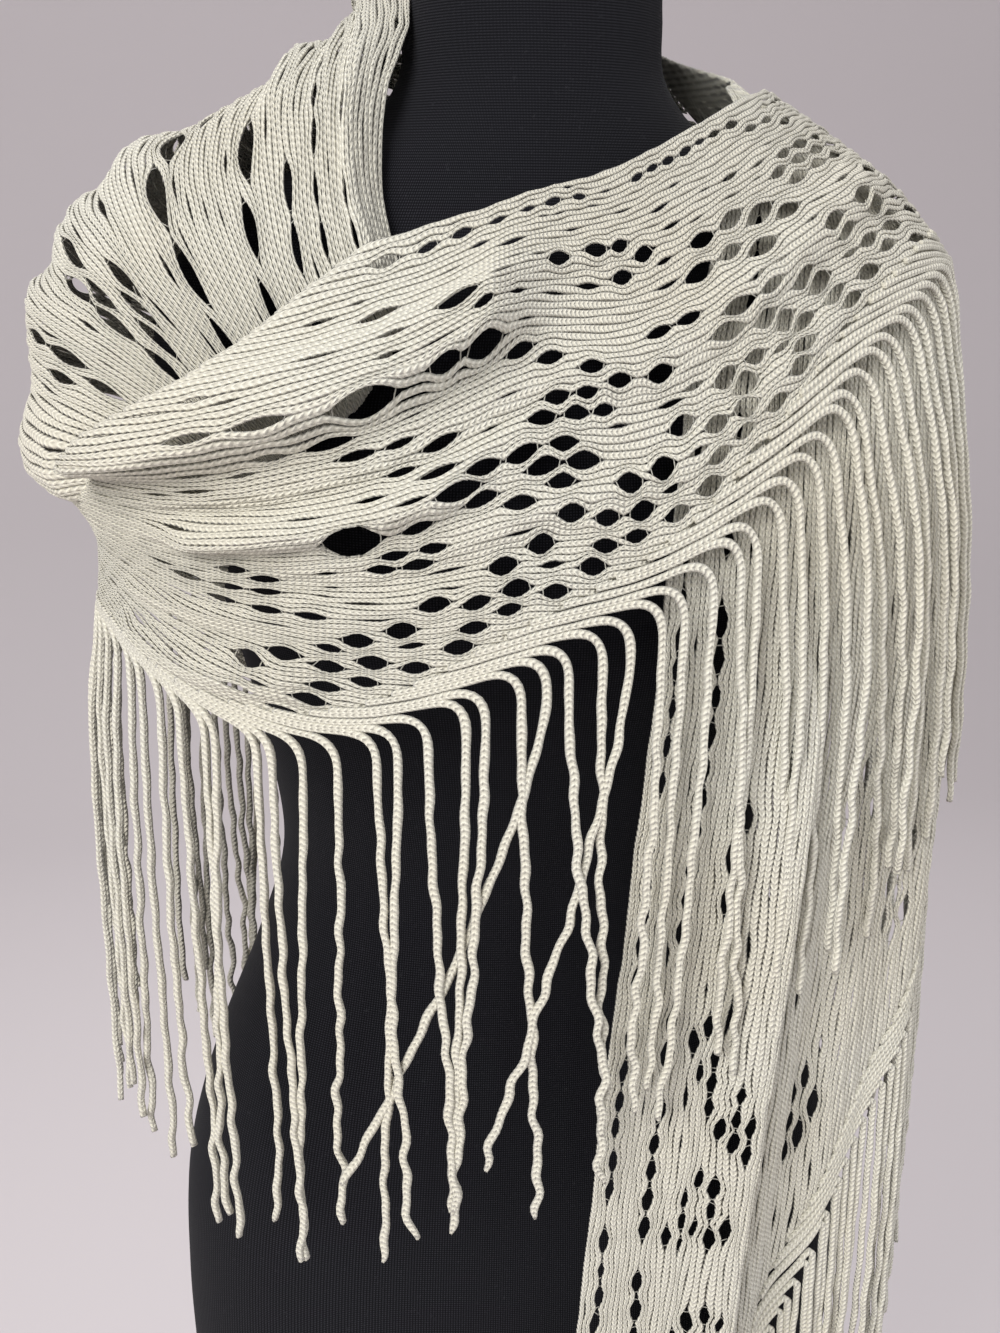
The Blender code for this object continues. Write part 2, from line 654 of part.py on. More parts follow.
def hanging_place(root, drop, out):
    """Where a cord hangs below its root: down the cape, never nearer than what it has passed."""
    degree = degrees(atan2(root.x, -root.y))
    reach = root.xy.length
    height = root.z
    while height > root.z - drop:
        height = max(height - 0.01, root.z - drop)
        reach = max(reach, cape_point(degree, height).xy.length + out)
    angle = radians(degree)
    return Vector((reach * sin(angle), -reach * cos(angle), root.z - drop))


def cord_lean(index):
    """A small repeating sideways sway that keeps the cords from hanging like a comb."""
    return 0.004 * sin(index * 2.4) + 0.002 * sin(index * 1.1)


def add_cord(shape, ring, index, out):
    """A hanging cord drawn out of one face of the strip."""
    root = sum((v.co for v in ring), Vector()) / 4
    length = FRINGE_LENGTH * (0.94 + 0.06 * sin(index * 1.7))
    half_cord = CORD_TAPER * CORD_WIDTH / 2
    for section in range(1, CORD_SECTIONS + 1):
        share = section / CORD_SECTIONS
        place = hanging_place(root, ROOT_DROP + (length - ROOT_DROP) * share, out)
        round_way = Vector((-place.y, place.x, 0)).normalized()
        out_way = Vector((place.x, place.y, 0)).normalized()
        place = place + round_way * cord_lean(index) * share
        offsets = ((-1, 1), (1, 1), (1, -1), (-1, -1))
        spots = [place + (round_way * x + out_way * y) * half_cord for x, y in offsets]
        if (ring[1].co - ring[0].co).dot(round_way) < 0:
            spots = [spots[1], spots[0], spots[3], spots[2]]
        below = [shape.verts.new(p) for p in spots]
        for i in range(4):
            j = (i + 1) % 4
            shape.faces.new((ring[i], ring[j], below[j], below[i]))
        ring = below
    shape.faces.new(ring)


def fringe(name, sheet, hem, count, out, collection):
    """A narrow strip just past the fringe edge, with its cords drawn out of its lower side."""
    stations, lengths = hem_lengths(sheet, hem)
    shape = bmesh.new()
    rails = []
    for index in range(count):
        place = lengths[-1] * (index + 0.5) / count
        for side in (-1, 1):
            station = smooth_at(lengths, stations, place + side * CORD_WIDTH / 2)
            rails.append([shape.verts.new(p) for p in hem_section(sheet, hem, station)])
    for index, (here, after) in enumerate(zip(rails, rails[1:])):
        for i in range(4):
            j = (i + 1) % 4
            if index % 2 == 0 and i == 1:
                continue
            shape.faces.new((here[i], here[j], after[j], after[i]))
    shape.faces.new(rails[0][::-1])
    shape.faces.new(rails[-1])
    for index in range(count):
        left, right = rails[2 * index], rails[2 * index + 1]
        add_cord(shape, [left[1], right[1], right[2], left[2]], index, out)
    bmesh.ops.recalc_face_normals(shape, faces=shape.faces)
    mesh = bpy.data.meshes.new(name)
    shape.to_mesh(mesh)
    shape.free()
    add_object(name, mesh, "shawl_yarn", collection)


def main():
    clear_scene()
    collection = bpy.data.collections.new("knit_shawl_on_a_dress_form")
    bpy.context.scene.collection.children.link(collection)
    build_form(collection)
    build_stand(collection)
    build_back(collection)
    build_right_shoulder(collection)
    build_front_wrap(collection)
    build_thrown_end(collection)
    build_hanging_end(collection)
    for name, sheet, hem, count, out in FRINGES:
        fringe(name, sheet, hem, count, out, collection)


main()
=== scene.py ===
from math import pi, radians

import bpy
import numpy as np
from mathutils import Matrix


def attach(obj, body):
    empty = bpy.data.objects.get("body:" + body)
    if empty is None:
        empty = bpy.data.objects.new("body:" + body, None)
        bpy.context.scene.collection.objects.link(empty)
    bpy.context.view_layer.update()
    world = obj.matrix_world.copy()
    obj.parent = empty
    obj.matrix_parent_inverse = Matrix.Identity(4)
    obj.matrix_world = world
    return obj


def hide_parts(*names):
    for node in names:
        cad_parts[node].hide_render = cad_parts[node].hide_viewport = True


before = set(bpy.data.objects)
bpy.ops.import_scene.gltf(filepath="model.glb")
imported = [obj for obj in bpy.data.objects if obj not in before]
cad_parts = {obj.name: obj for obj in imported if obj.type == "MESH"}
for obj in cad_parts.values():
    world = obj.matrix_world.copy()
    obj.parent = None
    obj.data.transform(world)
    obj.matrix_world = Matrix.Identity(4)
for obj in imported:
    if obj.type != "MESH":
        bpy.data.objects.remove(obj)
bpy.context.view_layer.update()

dice = np.random.default_rng(11)
print("frame loaded")

# The wearer's front faces -Y and the left is +X. Degrees run round the form, 0 in front and 90 at the left.
form = {
    "roundness": 2.2,
    "rings": np.array([  # height, half width, depth to the front, depth to the back
        (0.7, 0.174, 0.108, 0.12), (0.76, 0.181, 0.112, 0.126), (0.85, 0.184, 0.114, 0.128),
        (0.92, 0.179, 0.11, 0.121), (0.985, 0.16, 0.102, 0.107), (1.04, 0.138, 0.094, 0.094),
        (1.09, 0.123, 0.09, 0.088), (1.16, 0.13, 0.102, 0.093), (1.23, 0.146, 0.12, 0.103),
        (1.29, 0.16, 0.119, 0.111), (1.34, 0.17, 0.104, 0.1146), (1.37, 0.164, 0.088, 0.108),
        (1.395, 0.143, 0.075, 0.1), (1.415, 0.11, 0.066, 0.088), (1.432, 0.078, 0.061, 0.07),
        (1.45, 0.061, 0.058, 0.056), (1.48, 0.0565, 0.056, 0.052), (1.505, 0.056, 0.056, 0.052),
    ]),
    "sides": 128,
    "levels": 150,
    "footRound": ((0.0, 0.006), (0.0015, 0.0018)),  # rise from the end, and how much narrower it is there
    "topRound": ((-0.0006, 0.0003), (0.0, 0.002)),
    "seamAngles": (-52, 52, 128, -128, 180, 0),
    "seamDepth": 0.0006,
    "seamWidth": 1.1,  # degrees
    "weave": 900.0,  # threads per metre
    "weaveRadius": 0.11,  # where the threads round the form have that spacing
    "coverDark": (0.0008, 0.0009, 0.0018, 1),
    "coverLight": (0.0018, 0.0019, 0.0034, 1),
    # painted highlight on the crossings of the weave, lighter than the cloth
    "weaveHighlight": (0.042, 0.0422, 0.052, 1),
    "lintColour": (0.05, 0.05, 0.058, 1),
}

cape = np.array([  # the shape that the cloth hangs on: height, reach to the right, left, front and back
    (0.3, 0.192, 0.192, 0.148, 0.15), (0.85, 0.193, 0.194, 0.15, 0.15), (1.0, 0.194, 0.208, 0.15, 0.15),
    (1.15, 0.194, 0.21, 0.15, 0.146), (1.23, 0.193, 0.206, 0.149, 0.136), (1.27, 0.194, 0.203, 0.145, 0.126),
    (1.3, 0.213, 0.2, 0.138, 0.119), (1.34, 0.221, 0.197, 0.122, 0.1165), (1.38, 0.214, 0.186, 0.103, 0.11),
    (1.405, 0.19, 0.165, 0.088, 0.102), (1.43, 0.15, 0.128, 0.075, 0.088), (1.45, 0.114, 0.094, 0.068, 0.074),
    (1.47, 0.084, 0.073, 0.064, 0.064), (1.5, 0.066, 0.064, 0.062, 0.06),
])

knit = {
    "chainPitch": 0.0029,  # from one chain of stitches to the next
    "stitchLength": 0.0027,
    "thickness": 0.0015,
    "overlap": 1.08,  # width of a chain against the room between its borders
    "halfWidths": (0.0004, 0.0026),  # least and most
    "arcPerDegree": 0.0031,  # flat metres to a degree round the form
    "pushShares": (1.0, 0.62, 0.3, 0.08),  # how far an opening pushes the chains beside it aside
    "lensPower": 1.7,  # the higher, the blunter an opening's ends
    "halfShare": 0.57,  # from the middle of an opening to its end, as a share of its length
    "wander": 0.00045,  # how far chains stray from their line
    "waves": ((1.0, 41, 0.31, 0), (0.8, 97, -0.53, 1), (0.5, 173, 1.9, 0)),  # size, rate, shift by chain, start
    "tuck": 0.005,  # length past the outline over which a chain's end turns under
    "sink": 1.3,  # depth of a tucked end, in tucks
    "seamReach": {False: 1.0, True: 0.013},  # no end nearer to a seam is tucked: degrees, metres if upright
}

link = {
    "width": 0.0005,
    "smallest": 0.0017,  # half width of the narrowest opening that has crossing threads
    "reach": (0.8, 0.08),  # from the middle of the opening, and what chance adds
    "slant": 0.12,
    "rise": (0.62, 0.0006),  # share of the half width, and what is added to it
}

chance = {
    "netPlace": 0.0008,
    "netSize": 0.12,
    "ladderPlace": 0.001,
    "ladderSize": 0.14,
    "slitLength": (0.006, 0.01),  # the least, and what chance adds
    "slitWidth": (0.0008, 0.0018),
}


# A smooth curve through the values at the stations, level beyond its ends. Values may be rows of numbers.
def smoothAt(stations, values, at):
    x = np.asarray(stations, float)
    y = np.asarray(values, float)
    at = np.clip(at, x[0], x[-1])
    steps = np.diff(x)
    slopes = (np.diff(y, axis=0).T / steps).T
    lean = np.empty_like(y)
    lean[0], lean[-1] = slopes[0], slopes[-1]
    lean[1:-1] = ((slopes[:-1].T * steps[1:] + slopes[1:].T * steps[:-1]) / (steps[1:] + steps[:-1])).T
    index = np.clip(np.searchsorted(x, at, side="left") - 1, 0, len(steps) - 1)
    more = () if y.ndim == 1 else (np.arange(len(at)),)
    here, after = (index, *more), (index + 1, *more)
    t = (at - x[index]) / steps[index]
    start = y[here] * (1 + 2 * t) * (1 - t) ** 2 + steps[index] * lean[here] * t * (1 - t) ** 2
    return start + y[after] * t * t * (3 - 2 * t) - steps[index] * lean[after] * t * t * (1 - t)


def added(name, data):
    made = bpy.data.objects.new(name, data)
    bpy.context.scene.collection.objects.link(made)
    return made


def unit(vectors):
    return vectors / np.maximum(np.linalg.norm(vectors, axis=-1, keepdims=True), 1e-12)


def ringRadius(angle, side, depth):
    power = form["roundness"]
    return ((abs(np.sin(angle)) / side) ** power + (abs(np.cos(angle)) / depth) ** power) ** (-1 / power)


def capePoint(degree, height):
    angle = np.radians(degree)
    right, left, front, back = (smoothAt(cape[:, 0], cape[:, i], height) for i in (1, 2, 3, 4))
    side, depth = np.where(np.sin(angle) < 0, right, left), np.where(np.cos(angle) > 0, front, back)
    radius = ringRadius(angle, side, depth)
    return np.stack([radius * np.sin(angle), -radius * np.cos(angle), height + 0 * radius], -1)


def capeNormal(degree, height):
    roundWay = capePoint(degree + 1.5, height) - capePoint(degree - 1.5, height)
    upWay = capePoint(degree, height + 0.004) - capePoint(degree, height - 0.004)
    return unit(np.cross(roundWay, upWay))


# A fold or crease is a ridge along the chains: start, end, distance from the edge at each, reach above and
# below, and height.
def foldRelief(sheet, along, across):
    total = np.zeros(len(along))
    for start, end, fromEdge, toEdge, above, below, height in sheet["folds"] + sheet["creases"]:
        share = np.clip((along - start) / (end - start), 0, 1)
        away = across - fromEdge - (toEdge - fromEdge) * share
        reach = np.where(away < 0, above, below)
        shape = 0.5 + 0.5 * np.cos(pi * np.minimum(abs(away) / reach, 1))
        total += height * np.minimum(1, 3 * np.sin(pi * share) ** 2) * shape
    return total


# The middle of the cloth at stations along the chains and distances from the straight edge. Below zero the
# edge is turned over towards the neck.
def clothPoint(sheet, along, across, lift=0.0):
    lines = sheet["lines"]
    flatAcross = np.maximum(across, 0)
    rows = [smoothAt(sheet["stations"], row[1], along) for row in lines]
    found = smoothAt([row[0] for row in lines], rows, flatAcross)
    degree, height = (found, along) if sheet["upright"] else (along, found)
    normal = capeNormal(degree, height)
    out = smoothAt(sheet["stations"], sheet["layer"], along) + foldRelief(sheet, along, flatAcross) + lift
    point = capePoint(degree, height) + normal * out[:, None]
    turned = np.maximum(-across, 0)[:, None]
    return point + turned * turnedWay(sheet, along, normal)


# The way that a turned edge leans at stations along it: in towards the neck, and a shift of its own.
def turnedWay(sheet, along, normal):
    rows = np.array(sheet["turned"])
    inward, *lean = (np.interp(along, rows[:, 0], rows[:, i]) for i in (1, 2, 3, 4))
    return unit(-unit(normal * (1, 1, 0)) * inward[:, None] + np.stack(lean, -1))


def metresAlong(sheet, station):
    return np.asarray(station, float) * (1 if sheet["upright"] else knit["arcPerDegree"])


def stationAt(sheet, metres):
    return np.asarray(metres, float) / (1 if sheet["upright"] else knit["arcPerDegree"])


def hemDistance(hem, station):
    return smoothAt([row[0] for row in hem], [row[1] for row in hem], station)


# Gathers yarn runs, each a flattened six-sided tube, into one mesh with a map of its stitches.
class YarnMesh:
    ribAcross = np.array((-1, -0.42, 0.42, 1, 0.42, -0.42))
    ribOut = np.array((0, 1, 1, 0, -1, -1))
    cordAcross = np.array((-1, -0.5, 0.5, 1, 0.5, -0.5))
    cordOut = np.array((0, 0.87, 0.87, 0, -0.87, -0.87))
    mapAcross = np.array((0, 1, 2, 3, 2, 1)) / 3

    def __init__(self):
        self.points, self.maps, self.quads, self.caps, self.count = [], [], [], [], 0

    def lay(self, middle, side, normal, halfWidth, halfThick, stitches, asCord=False):
        across, out = (self.cordAcross, self.cordOut) if asCord else (self.ribAcross, self.ribOut)
        n = len(middle)
        spread = side[:, None] * (halfWidth[:, None] * across)[..., None]
        depth = normal[:, None] * (halfThick[:, None] * out)[..., None]
        self.points.append((middle[:, None] + spread + depth).reshape(-1, 3))
        self.maps.append(np.stack(np.broadcast_arrays(self.mapAcross, stitches[:, None]), -1).reshape(-1, 2))
        rings = self.count + np.arange(n * 6).reshape(n, 6)
        after = np.roll(rings, -1, axis=1)
        self.quads.append(np.stack([rings[:-1], after[:-1], after[1:], rings[1:]], -1).reshape(-1, 4))
        self.caps += [rings[0][::-1], rings[-1]]
        self.count += n * 6

    def build(self, name, material):
        quads, caps = np.concatenate(self.quads), np.array(self.caps)
        corners = np.concatenate([quads.ravel(), caps.ravel()])
        sizes = np.concatenate([np.full(len(quads), 4), np.full(len(caps), 6)])
        mesh = bpy.data.meshes.new(name)
        mesh.vertices.add(self.count)
        mesh.vertices.foreach_set("co", np.concatenate(self.points).astype(np.float32).ravel())
        mesh.loops.add(len(corners))
        mesh.loops.foreach_set("vertex_index", corners.astype(np.int32))
        mesh.polygons.add(len(sizes))
        mesh.polygons.foreach_set("loop_start", np.concatenate([[0], np.cumsum(sizes)[:-1]]).astype(np.int32))
        mesh.uv_layers.new(name="stitches").data.foreach_set(
            "uv", np.concatenate(self.maps)[corners].astype(np.float32).ravel())
        mesh.update(calc_edges=True)
        mesh.validate()
        mesh.shade_smooth()
        mesh.materials.append(material)
        print(name, len(quads) * 2 + len(caps) * 4, "triangles")
        return added(name, mesh)


# A node's socket that takes part in Python arithmetic.
class Wire:
    def __init__(self, finish, socket):
        self.finish, self.socket = finish, socket

    def maths(self, operation, *values):
        return self.finish.node("ShaderNodeMath", {"operation": operation}, dict(enumerate(values)))

    def __add__(self, other): return self.maths("ADD", self, other)
    def __sub__(self, other): return self.maths("SUBTRACT", self, other)
    def __rsub__(self, other): return self.maths("SUBTRACT", other, self)
    def __mul__(self, other): return self.maths("MULTIPLY", self, other)
    def __abs__(self): return self.maths("ABSOLUTE", self)
    __radd__, __rmul__ = __add__, __mul__

    def sine(self): return self.maths("SINE", self)
    def least(self, other): return self.maths("MINIMUM", self, other)
    def most(self, other): return self.maths("MAXIMUM", self, other)


# A material under construction.
class Finish:
    def __init__(self, name, **constants):
        self.material = bpy.data.materials.new(name)
        self.material.use_nodes = True
        self.tree = self.material.node_tree
        self.shader = self.tree.nodes["Principled BSDF"]
        self.set(self.shader, {key.replace("_", " "): value for key, value in constants.items()})

    def set(self, node, values):
        for key, value in values.items():
            if isinstance(value, Wire):
                self.tree.links.new(value.socket, node.inputs[key])
            else:
                node.inputs[key].default_value = value

    def node(self, kind, settings, values, output=0):
        made = self.tree.nodes.new(kind)
        for key, value in settings.items():
            setattr(made, key, value)
        self.set(made, values)
        return Wire(self, made.outputs[output])

    def noise(self, place, scale, detail):
        return self.node("ShaderNodeTexNoise", {}, {"Vector": place, "Scale": scale, "Detail": detail})

    def where(self):
        return self.node("ShaderNodeTexCoord", {}, {}, 3)

    def parts(self, vector):
        apart = self.node("ShaderNodeSeparateXYZ", {}, {0: vector}).socket.node
        return [Wire(self, output) for output in apart.outputs]

    def blend(self, share, first, second):
        return self.node("ShaderNodeMix", {"data_type": "RGBA"}, {0: share, 6: first, 7: second}, 2)

    def bump(self, height, distance, strength=1.0):
        return self.node("ShaderNodeBump", {}, {"Height": height, "Distance": distance, "Strength": strength})


yarn = {
    "lit": (0.762, 0.745, 0.648, 1),
    "shaded": (0.35, 0.328, 0.264, 1),
    "warm": (0.74, 0.706, 0.59, 1),
    "roughness": 0.86,
    "legSlant": 0.55,
    "stitchRelief": 0.0013,
    "fibreScale": 2600.0,
    "driftScale": 9.0,
}


def yarnMaterial():
    finish = Finish("knittedYarn", Roughness=yarn["roughness"], Sheen_Weight=0.25, Sheen_Roughness=0.5)
    across, along, _ = finish.parts(finish.node("ShaderNodeUVMap", {"uv_map": "stitches"}, {}))
    where = finish.where()
    sideways = abs(across * 2 - 1)  # 0 on the chain's middle, 1 at its borders
    legs = ((along - sideways * yarn["legSlant"]) * (2 * pi)).sine() * 0.5 + 0.5
    middle = 1 - (sideways * 4.5).least(1)  # the groove between the two legs of each stitch
    border = (sideways * 3 - 2).most(0)
    fibres = finish.noise(where, yarn["fibreScale"], 1.0)
    height = legs * 0.55 - middle * 0.3 - border * 0.3 + fibres * 0.25
    shade = (legs * 0.48 + (1 - border) * 0.18 + 0.4 - middle * 0.12).least(1)
    drift = finish.noise(where, yarn["driftScale"], 3.0)
    body = finish.blend((drift * 3 - 1).least(1).most(0), yarn["lit"], yarn["warm"])
    colour = finish.blend(shade, yarn["shaded"], body)
    finish.set(finish.shader, {
        "Base Color": colour,
        "Normal": finish.bump(height, yarn["stitchRelief"]),
    })
    return finish.material


yarnFinish = yarnMaterial()


# The parts of a closed outline that a chain crosses, in flat metres.
def crossings(outline, across):
    found = []
    for (ax, ay), (bx, by) in zip(outline, outline[1:] + outline[:1]):
        if (ay > across) != (by > across):
            found.append(ax + (across - ay) * (bx - ax) / (by - ay))
    found.sort()
    return list(zip(found[::2], found[1::2]))


# Every opening of a stretch as (flat metres along, border number, half length, half width). None overlap.
def openings(sheet):
    pitch = knit["chainPitch"]
    found = []

    def add(along, across, length, width):
        border = round(across / pitch)
        half = length * knit["halfShare"]
        near = [(a, h) for a, b, h, _ in found if abs(b - border) < 2]
        second = [(a, h) for a, b, h, _ in found if abs(b - border) == 2]
        if any(abs(a - along) < h + half for a, h in near):
            return
        if any(abs(a - along) < (h + half) / 3 for a, h in second):
            return
        found.append((float(along), border, half, width / 2))

    for station, across, length, width in sheet["eyes"]:
        add(metresAlong(sheet, station), across, length, width)
    for hole in flowerBand(sheet):
        add(*hole)
    for station, across, counts, step, slant, length, width in sheet["nets"]:
        middle = metresAlong(sheet, station)
        for row, count in enumerate(counts):
            level = row - (len(counts) - 1) / 2
            for index in range(count):
                shift = (index - (count - 1) / 2 + slant * level) * step + dice.normal() * chance["netPlace"]
                grow = 1 + dice.normal() * chance["netSize"]
                add(middle + shift, across + level * 2 * pitch, length * grow, width * grow)
    for start, end, across, step, length, width in sheet["ladders"]:
        for place in np.arange(metresAlong(sheet, start), metresAlong(sheet, end), step):
            grow = 1 + dice.normal() * chance["ladderSize"]
            add(place + dice.normal() * chance["ladderPlace"], across, length * grow, width * grow)
    low, high = (pick(sheet["outline"], axis=0) for pick in (np.min, np.max))
    (shortest, longer), (narrowest, wider) = chance["slitLength"], chance["slitWidth"]
    for _ in range(sheet["slits"]):
        along, across = low + (high - low) * dice.random(2)
        add(along, across, shortest + longer * dice.random(), narrowest + wider * dice.random() ** 2)
    return found


flower = {
    "period": 0.0577,
    "inset": 0.032,  # of its middle from the fringe edge
    "cut": 6,  # degrees of the first one that are kept before its middle
    "drawn": (10, 60, 0.35, 0.2),  # start, reach, and how much longer and narrower the holes get
    "holes": (  # along, across, length, width: a ring, the slits in its middle, holes between two rings
        (0.0, -0.0174, 0.013, 0.0078), (-0.013, -0.0116, 0.012, 0.0094), (0.007, -0.0116, 0.0115, 0.0066),
        (-0.02, -0.0058, 0.013, 0.0096), (0.017, -0.0058, 0.012, 0.007), (-0.024, 0.0, 0.0125, 0.0084),
        (0.021, 0.0, 0.012, 0.0066), (-0.015, 0.0058, 0.0125, 0.0066), (0.016, 0.0058, 0.012, 0.0064),
        (-0.007, 0.0116, 0.012, 0.0068), (0.01, 0.0116, 0.0125, 0.008), (-0.001, 0.0174, 0.012, 0.006),
        (-0.004, -0.0058, 0.01, 0.0034), (0.005, -0.0029, 0.009, 0.003), (-0.0085, 0.0, 0.0095, 0.0032),
        (0.006, 0.0058, 0.0085, 0.0034), (-0.026, -0.0116, 0.011, 0.006), (0.028, -0.0145, 0.0125, 0.0084),
        (0.027, 0.0116, 0.0115, 0.0064), (-0.027, 0.0087, 0.011, 0.006), (0.017, -0.0174, 0.011, 0.005),
    ),
}


# The row of flowers down the fringe edge.
def flowerBand(sheet):
    if not sheet["flowers"]:
        return
    start, reach, longer, narrower = flower["drawn"]
    for middle in np.arange(*(metresAlong(sheet, end) for end in sheet["flowers"]), flower["period"]):
        for along, across, length, width in flower["holes"]:
            station = stationAt(sheet, middle + along)
            if station < sheet["flowers"][0] - flower["cut"]:
                continue
            drawn = float(np.clip((station - start) / reach, 0, 1))  # pulled longer over the left shoulder
            place = hemDistance(sheet["hem"], station) - flower["inset"] + across
            yield middle + along, place, length * (1 + longer * drawn), width * (1 - narrower * drawn)


# How far each border's two sides are pushed, on a grid of places along the chains.
def pushes(holes, lowest, count, grid):
    down = np.zeros((count, len(grid)))
    up = np.zeros((count, len(grid)))
    for along, border, half, wide in holes:
        near = np.flatnonzero(abs(grid - along) < half)
        if not len(near):
            continue
        lens = wide * (1 - (abs(grid[near] - along) / half) ** knit["lensPower"])
        for step, share in enumerate(knit["pushShares"]):
            for way, own, other in ((1, up, down), (-1, down, up)):
                row = border + way * step - lowest
                if 0 <= row < count:
                    own[row, near] += way * lens * share
                    if step:
                        other[row, near] += way * lens * share
    return down, up


# Slow waves that take the chains a little off their lines, neighbours nearly together.
def strayed(along, border):
    waves = knit["waves"]
    total = sum(size * np.sin(along * rate + border * shift + start) for size, rate, shift, start in waves)
    return knit["wander"] * total


# How far a chain lies under the face of its sheet: its tucked ends, and a slight unevenness.
def tuckedUnder(spots, before, after, chain):
    ends = (spots - spots[0], spots[-1] - spots)
    first, last = (np.clip(1 - away / (2 * knit["tuck"]), 0, 1) ** 2 for away in ends)
    sink = -knit["sink"] * knit["tuck"] * (first * (before > 0) + last * (after > 0))
    return sink + 0.0003 * np.sin(spots * 130 + chain * 2.1) + 0.0002 * np.sin(spots * 310 + chain * 4.7)


# One stretch of knit: its chains of stitches side by side, parted at the openings, with links across them.
def knitSheet(name, sheet):
    pitch = knit["chainPitch"]
    seamReach = knit["seamReach"][sheet["upright"]]
    outline = [tuple(p) for p in sheet["outline"]]
    lowest = round(min(p[1] for p in outline) / pitch)
    highest = round(max(p[1] for p in outline) / pitch)
    count = highest - lowest + 1
    low, high = (pick(p[0] for p in outline) for pick in (min, max))
    grid = np.arange(low, high + sheet["step"], sheet["step"] / 2)
    holes = openings(sheet)
    down, up = pushes(holes, lowest, count, grid)
    runs, alongs, lowers, uppers, unders = [], [], [], [], []
    for chain in range(count - 1):
        for start, end in crossings(outline, (lowest + chain + 0.5) * pitch):
            if end - start < 2 * sheet["step"]:
                continue
            tips = stationAt(sheet, (start, end))
            fromSeam = (min(abs(tip - seam) for seam in sheet["seams"]) for tip in tips)
            before, after = (0 if away < seamReach else knit["tuck"] for away in fromSeam)
            spots = np.linspace(start - before, end + after, int((end - start) / sheet["step"]) + 4)
            runs.append(len(spots))
            alongs.append(spots)
            for border, moved, found in ((chain, up, lowers), (chain + 1, down, uppers)):
                aside = np.interp(spots, grid, moved[border])
                found.append((lowest + border) * pitch + aside + strayed(spots, border))
            unders.append(tuckedUnder(spots, before, after, chain))
    along, lower, upper, under = (np.concatenate(part) for part in (alongs, lowers, uppers, unders))
    station = stationAt(sheet, along)
    left, right = (clothPoint(sheet, station, border, under) for border in (lower, upper))
    mesh = YarnMesh()
    first = 0
    for length in runs:
        part = slice(first, first + length)
        first += length
        middle = (left[part] + right[part]) / 2
        side = unit(right[part] - left[part])
        normal = unit(np.cross(side, np.gradient(middle, axis=0)))
        half = np.linalg.norm(right[part] - left[part], axis=1) / 2
        half = np.clip(half * knit["overlap"], *knit["halfWidths"])
        thick = np.minimum(knit["thickness"] / 2, half * 0.75 + 0.0002)
        thick = thick * (1 + 0.08 * np.sin(along[part] * 900 + first))
        mesh.lay(middle, side, normal, half, thick, along[part] / knit["stitchLength"])
    addLinks(mesh, sheet, holes, outline)
    return mesh.build(name, yarnFinish)


# Thin crossing threads where two chains come together at the ends of the wider openings.
def addLinks(mesh, sheet, holes, outline):
    pitch = knit["chainPitch"]
    for along, border, half, wide in holes:
        inside = any(a < along < b for a, b in crossings(outline, border * pitch + pitch / 4))
        if wide < link["smallest"] or not inside:
            continue
        for way in (-1, 1):
            end = along + way * half * (link["reach"][0] + link["reach"][1] * dice.random())
            slant = half * link["slant"] * dice.normal()
            gap = wide * link["rise"][0] + link["rise"][1]
            spots = np.array((end - slant, end, end + slant))
            rise = np.array((-gap, 0, gap)) + border * pitch
            middle = clothPoint(sheet, stationAt(sheet, spots), rise)
            ahead = unit(np.gradient(middle, axis=0))
            normal = unit(np.cross(ahead, ahead[0] + (0.3, 0.1, 0.7)))
            side = np.cross(ahead, normal)
            thin = np.full(3, link["width"] / 2)
            mesh.lay(middle, side, normal, thin, thin, np.arange(3) * 0.4, True)


cord = {
    "step": 0.0028,
    "width": 0.0038,
    "leadHalfWidths": (0.00145, 0.00155),  # of the stretch beside the edge, at its start and at the bend
    "leadPitch": 0.0032,  # from one cord to the next beside the edge
    "overhang": 0.001,
    "lift": 0.0008,
    "tip": (0.85, 0.55),
    "wave": 0.0007,
    "curl": 0.011,
    "settle": 0.05,  # length over which a hanging cord comes to its distance from the cloth
    "clumps": (3, 2, 4, 1, 3, 2, 3, 4, 2),  # how many cords hang together, one clump after another
}


# A curved fringe edge measured along its length: stations and the lengths before them.
def hemLengths(sheet):
    hem = sheet["hem"]
    stations = np.linspace(hem[0][0], hem[-1][0], 400)
    points = clothPoint(sheet, stations, hemDistance(hem, stations))
    steps = np.linalg.norm(np.diff(points, axis=0), axis=1)
    return stations, np.concatenate([[0], np.cumsum(steps)])


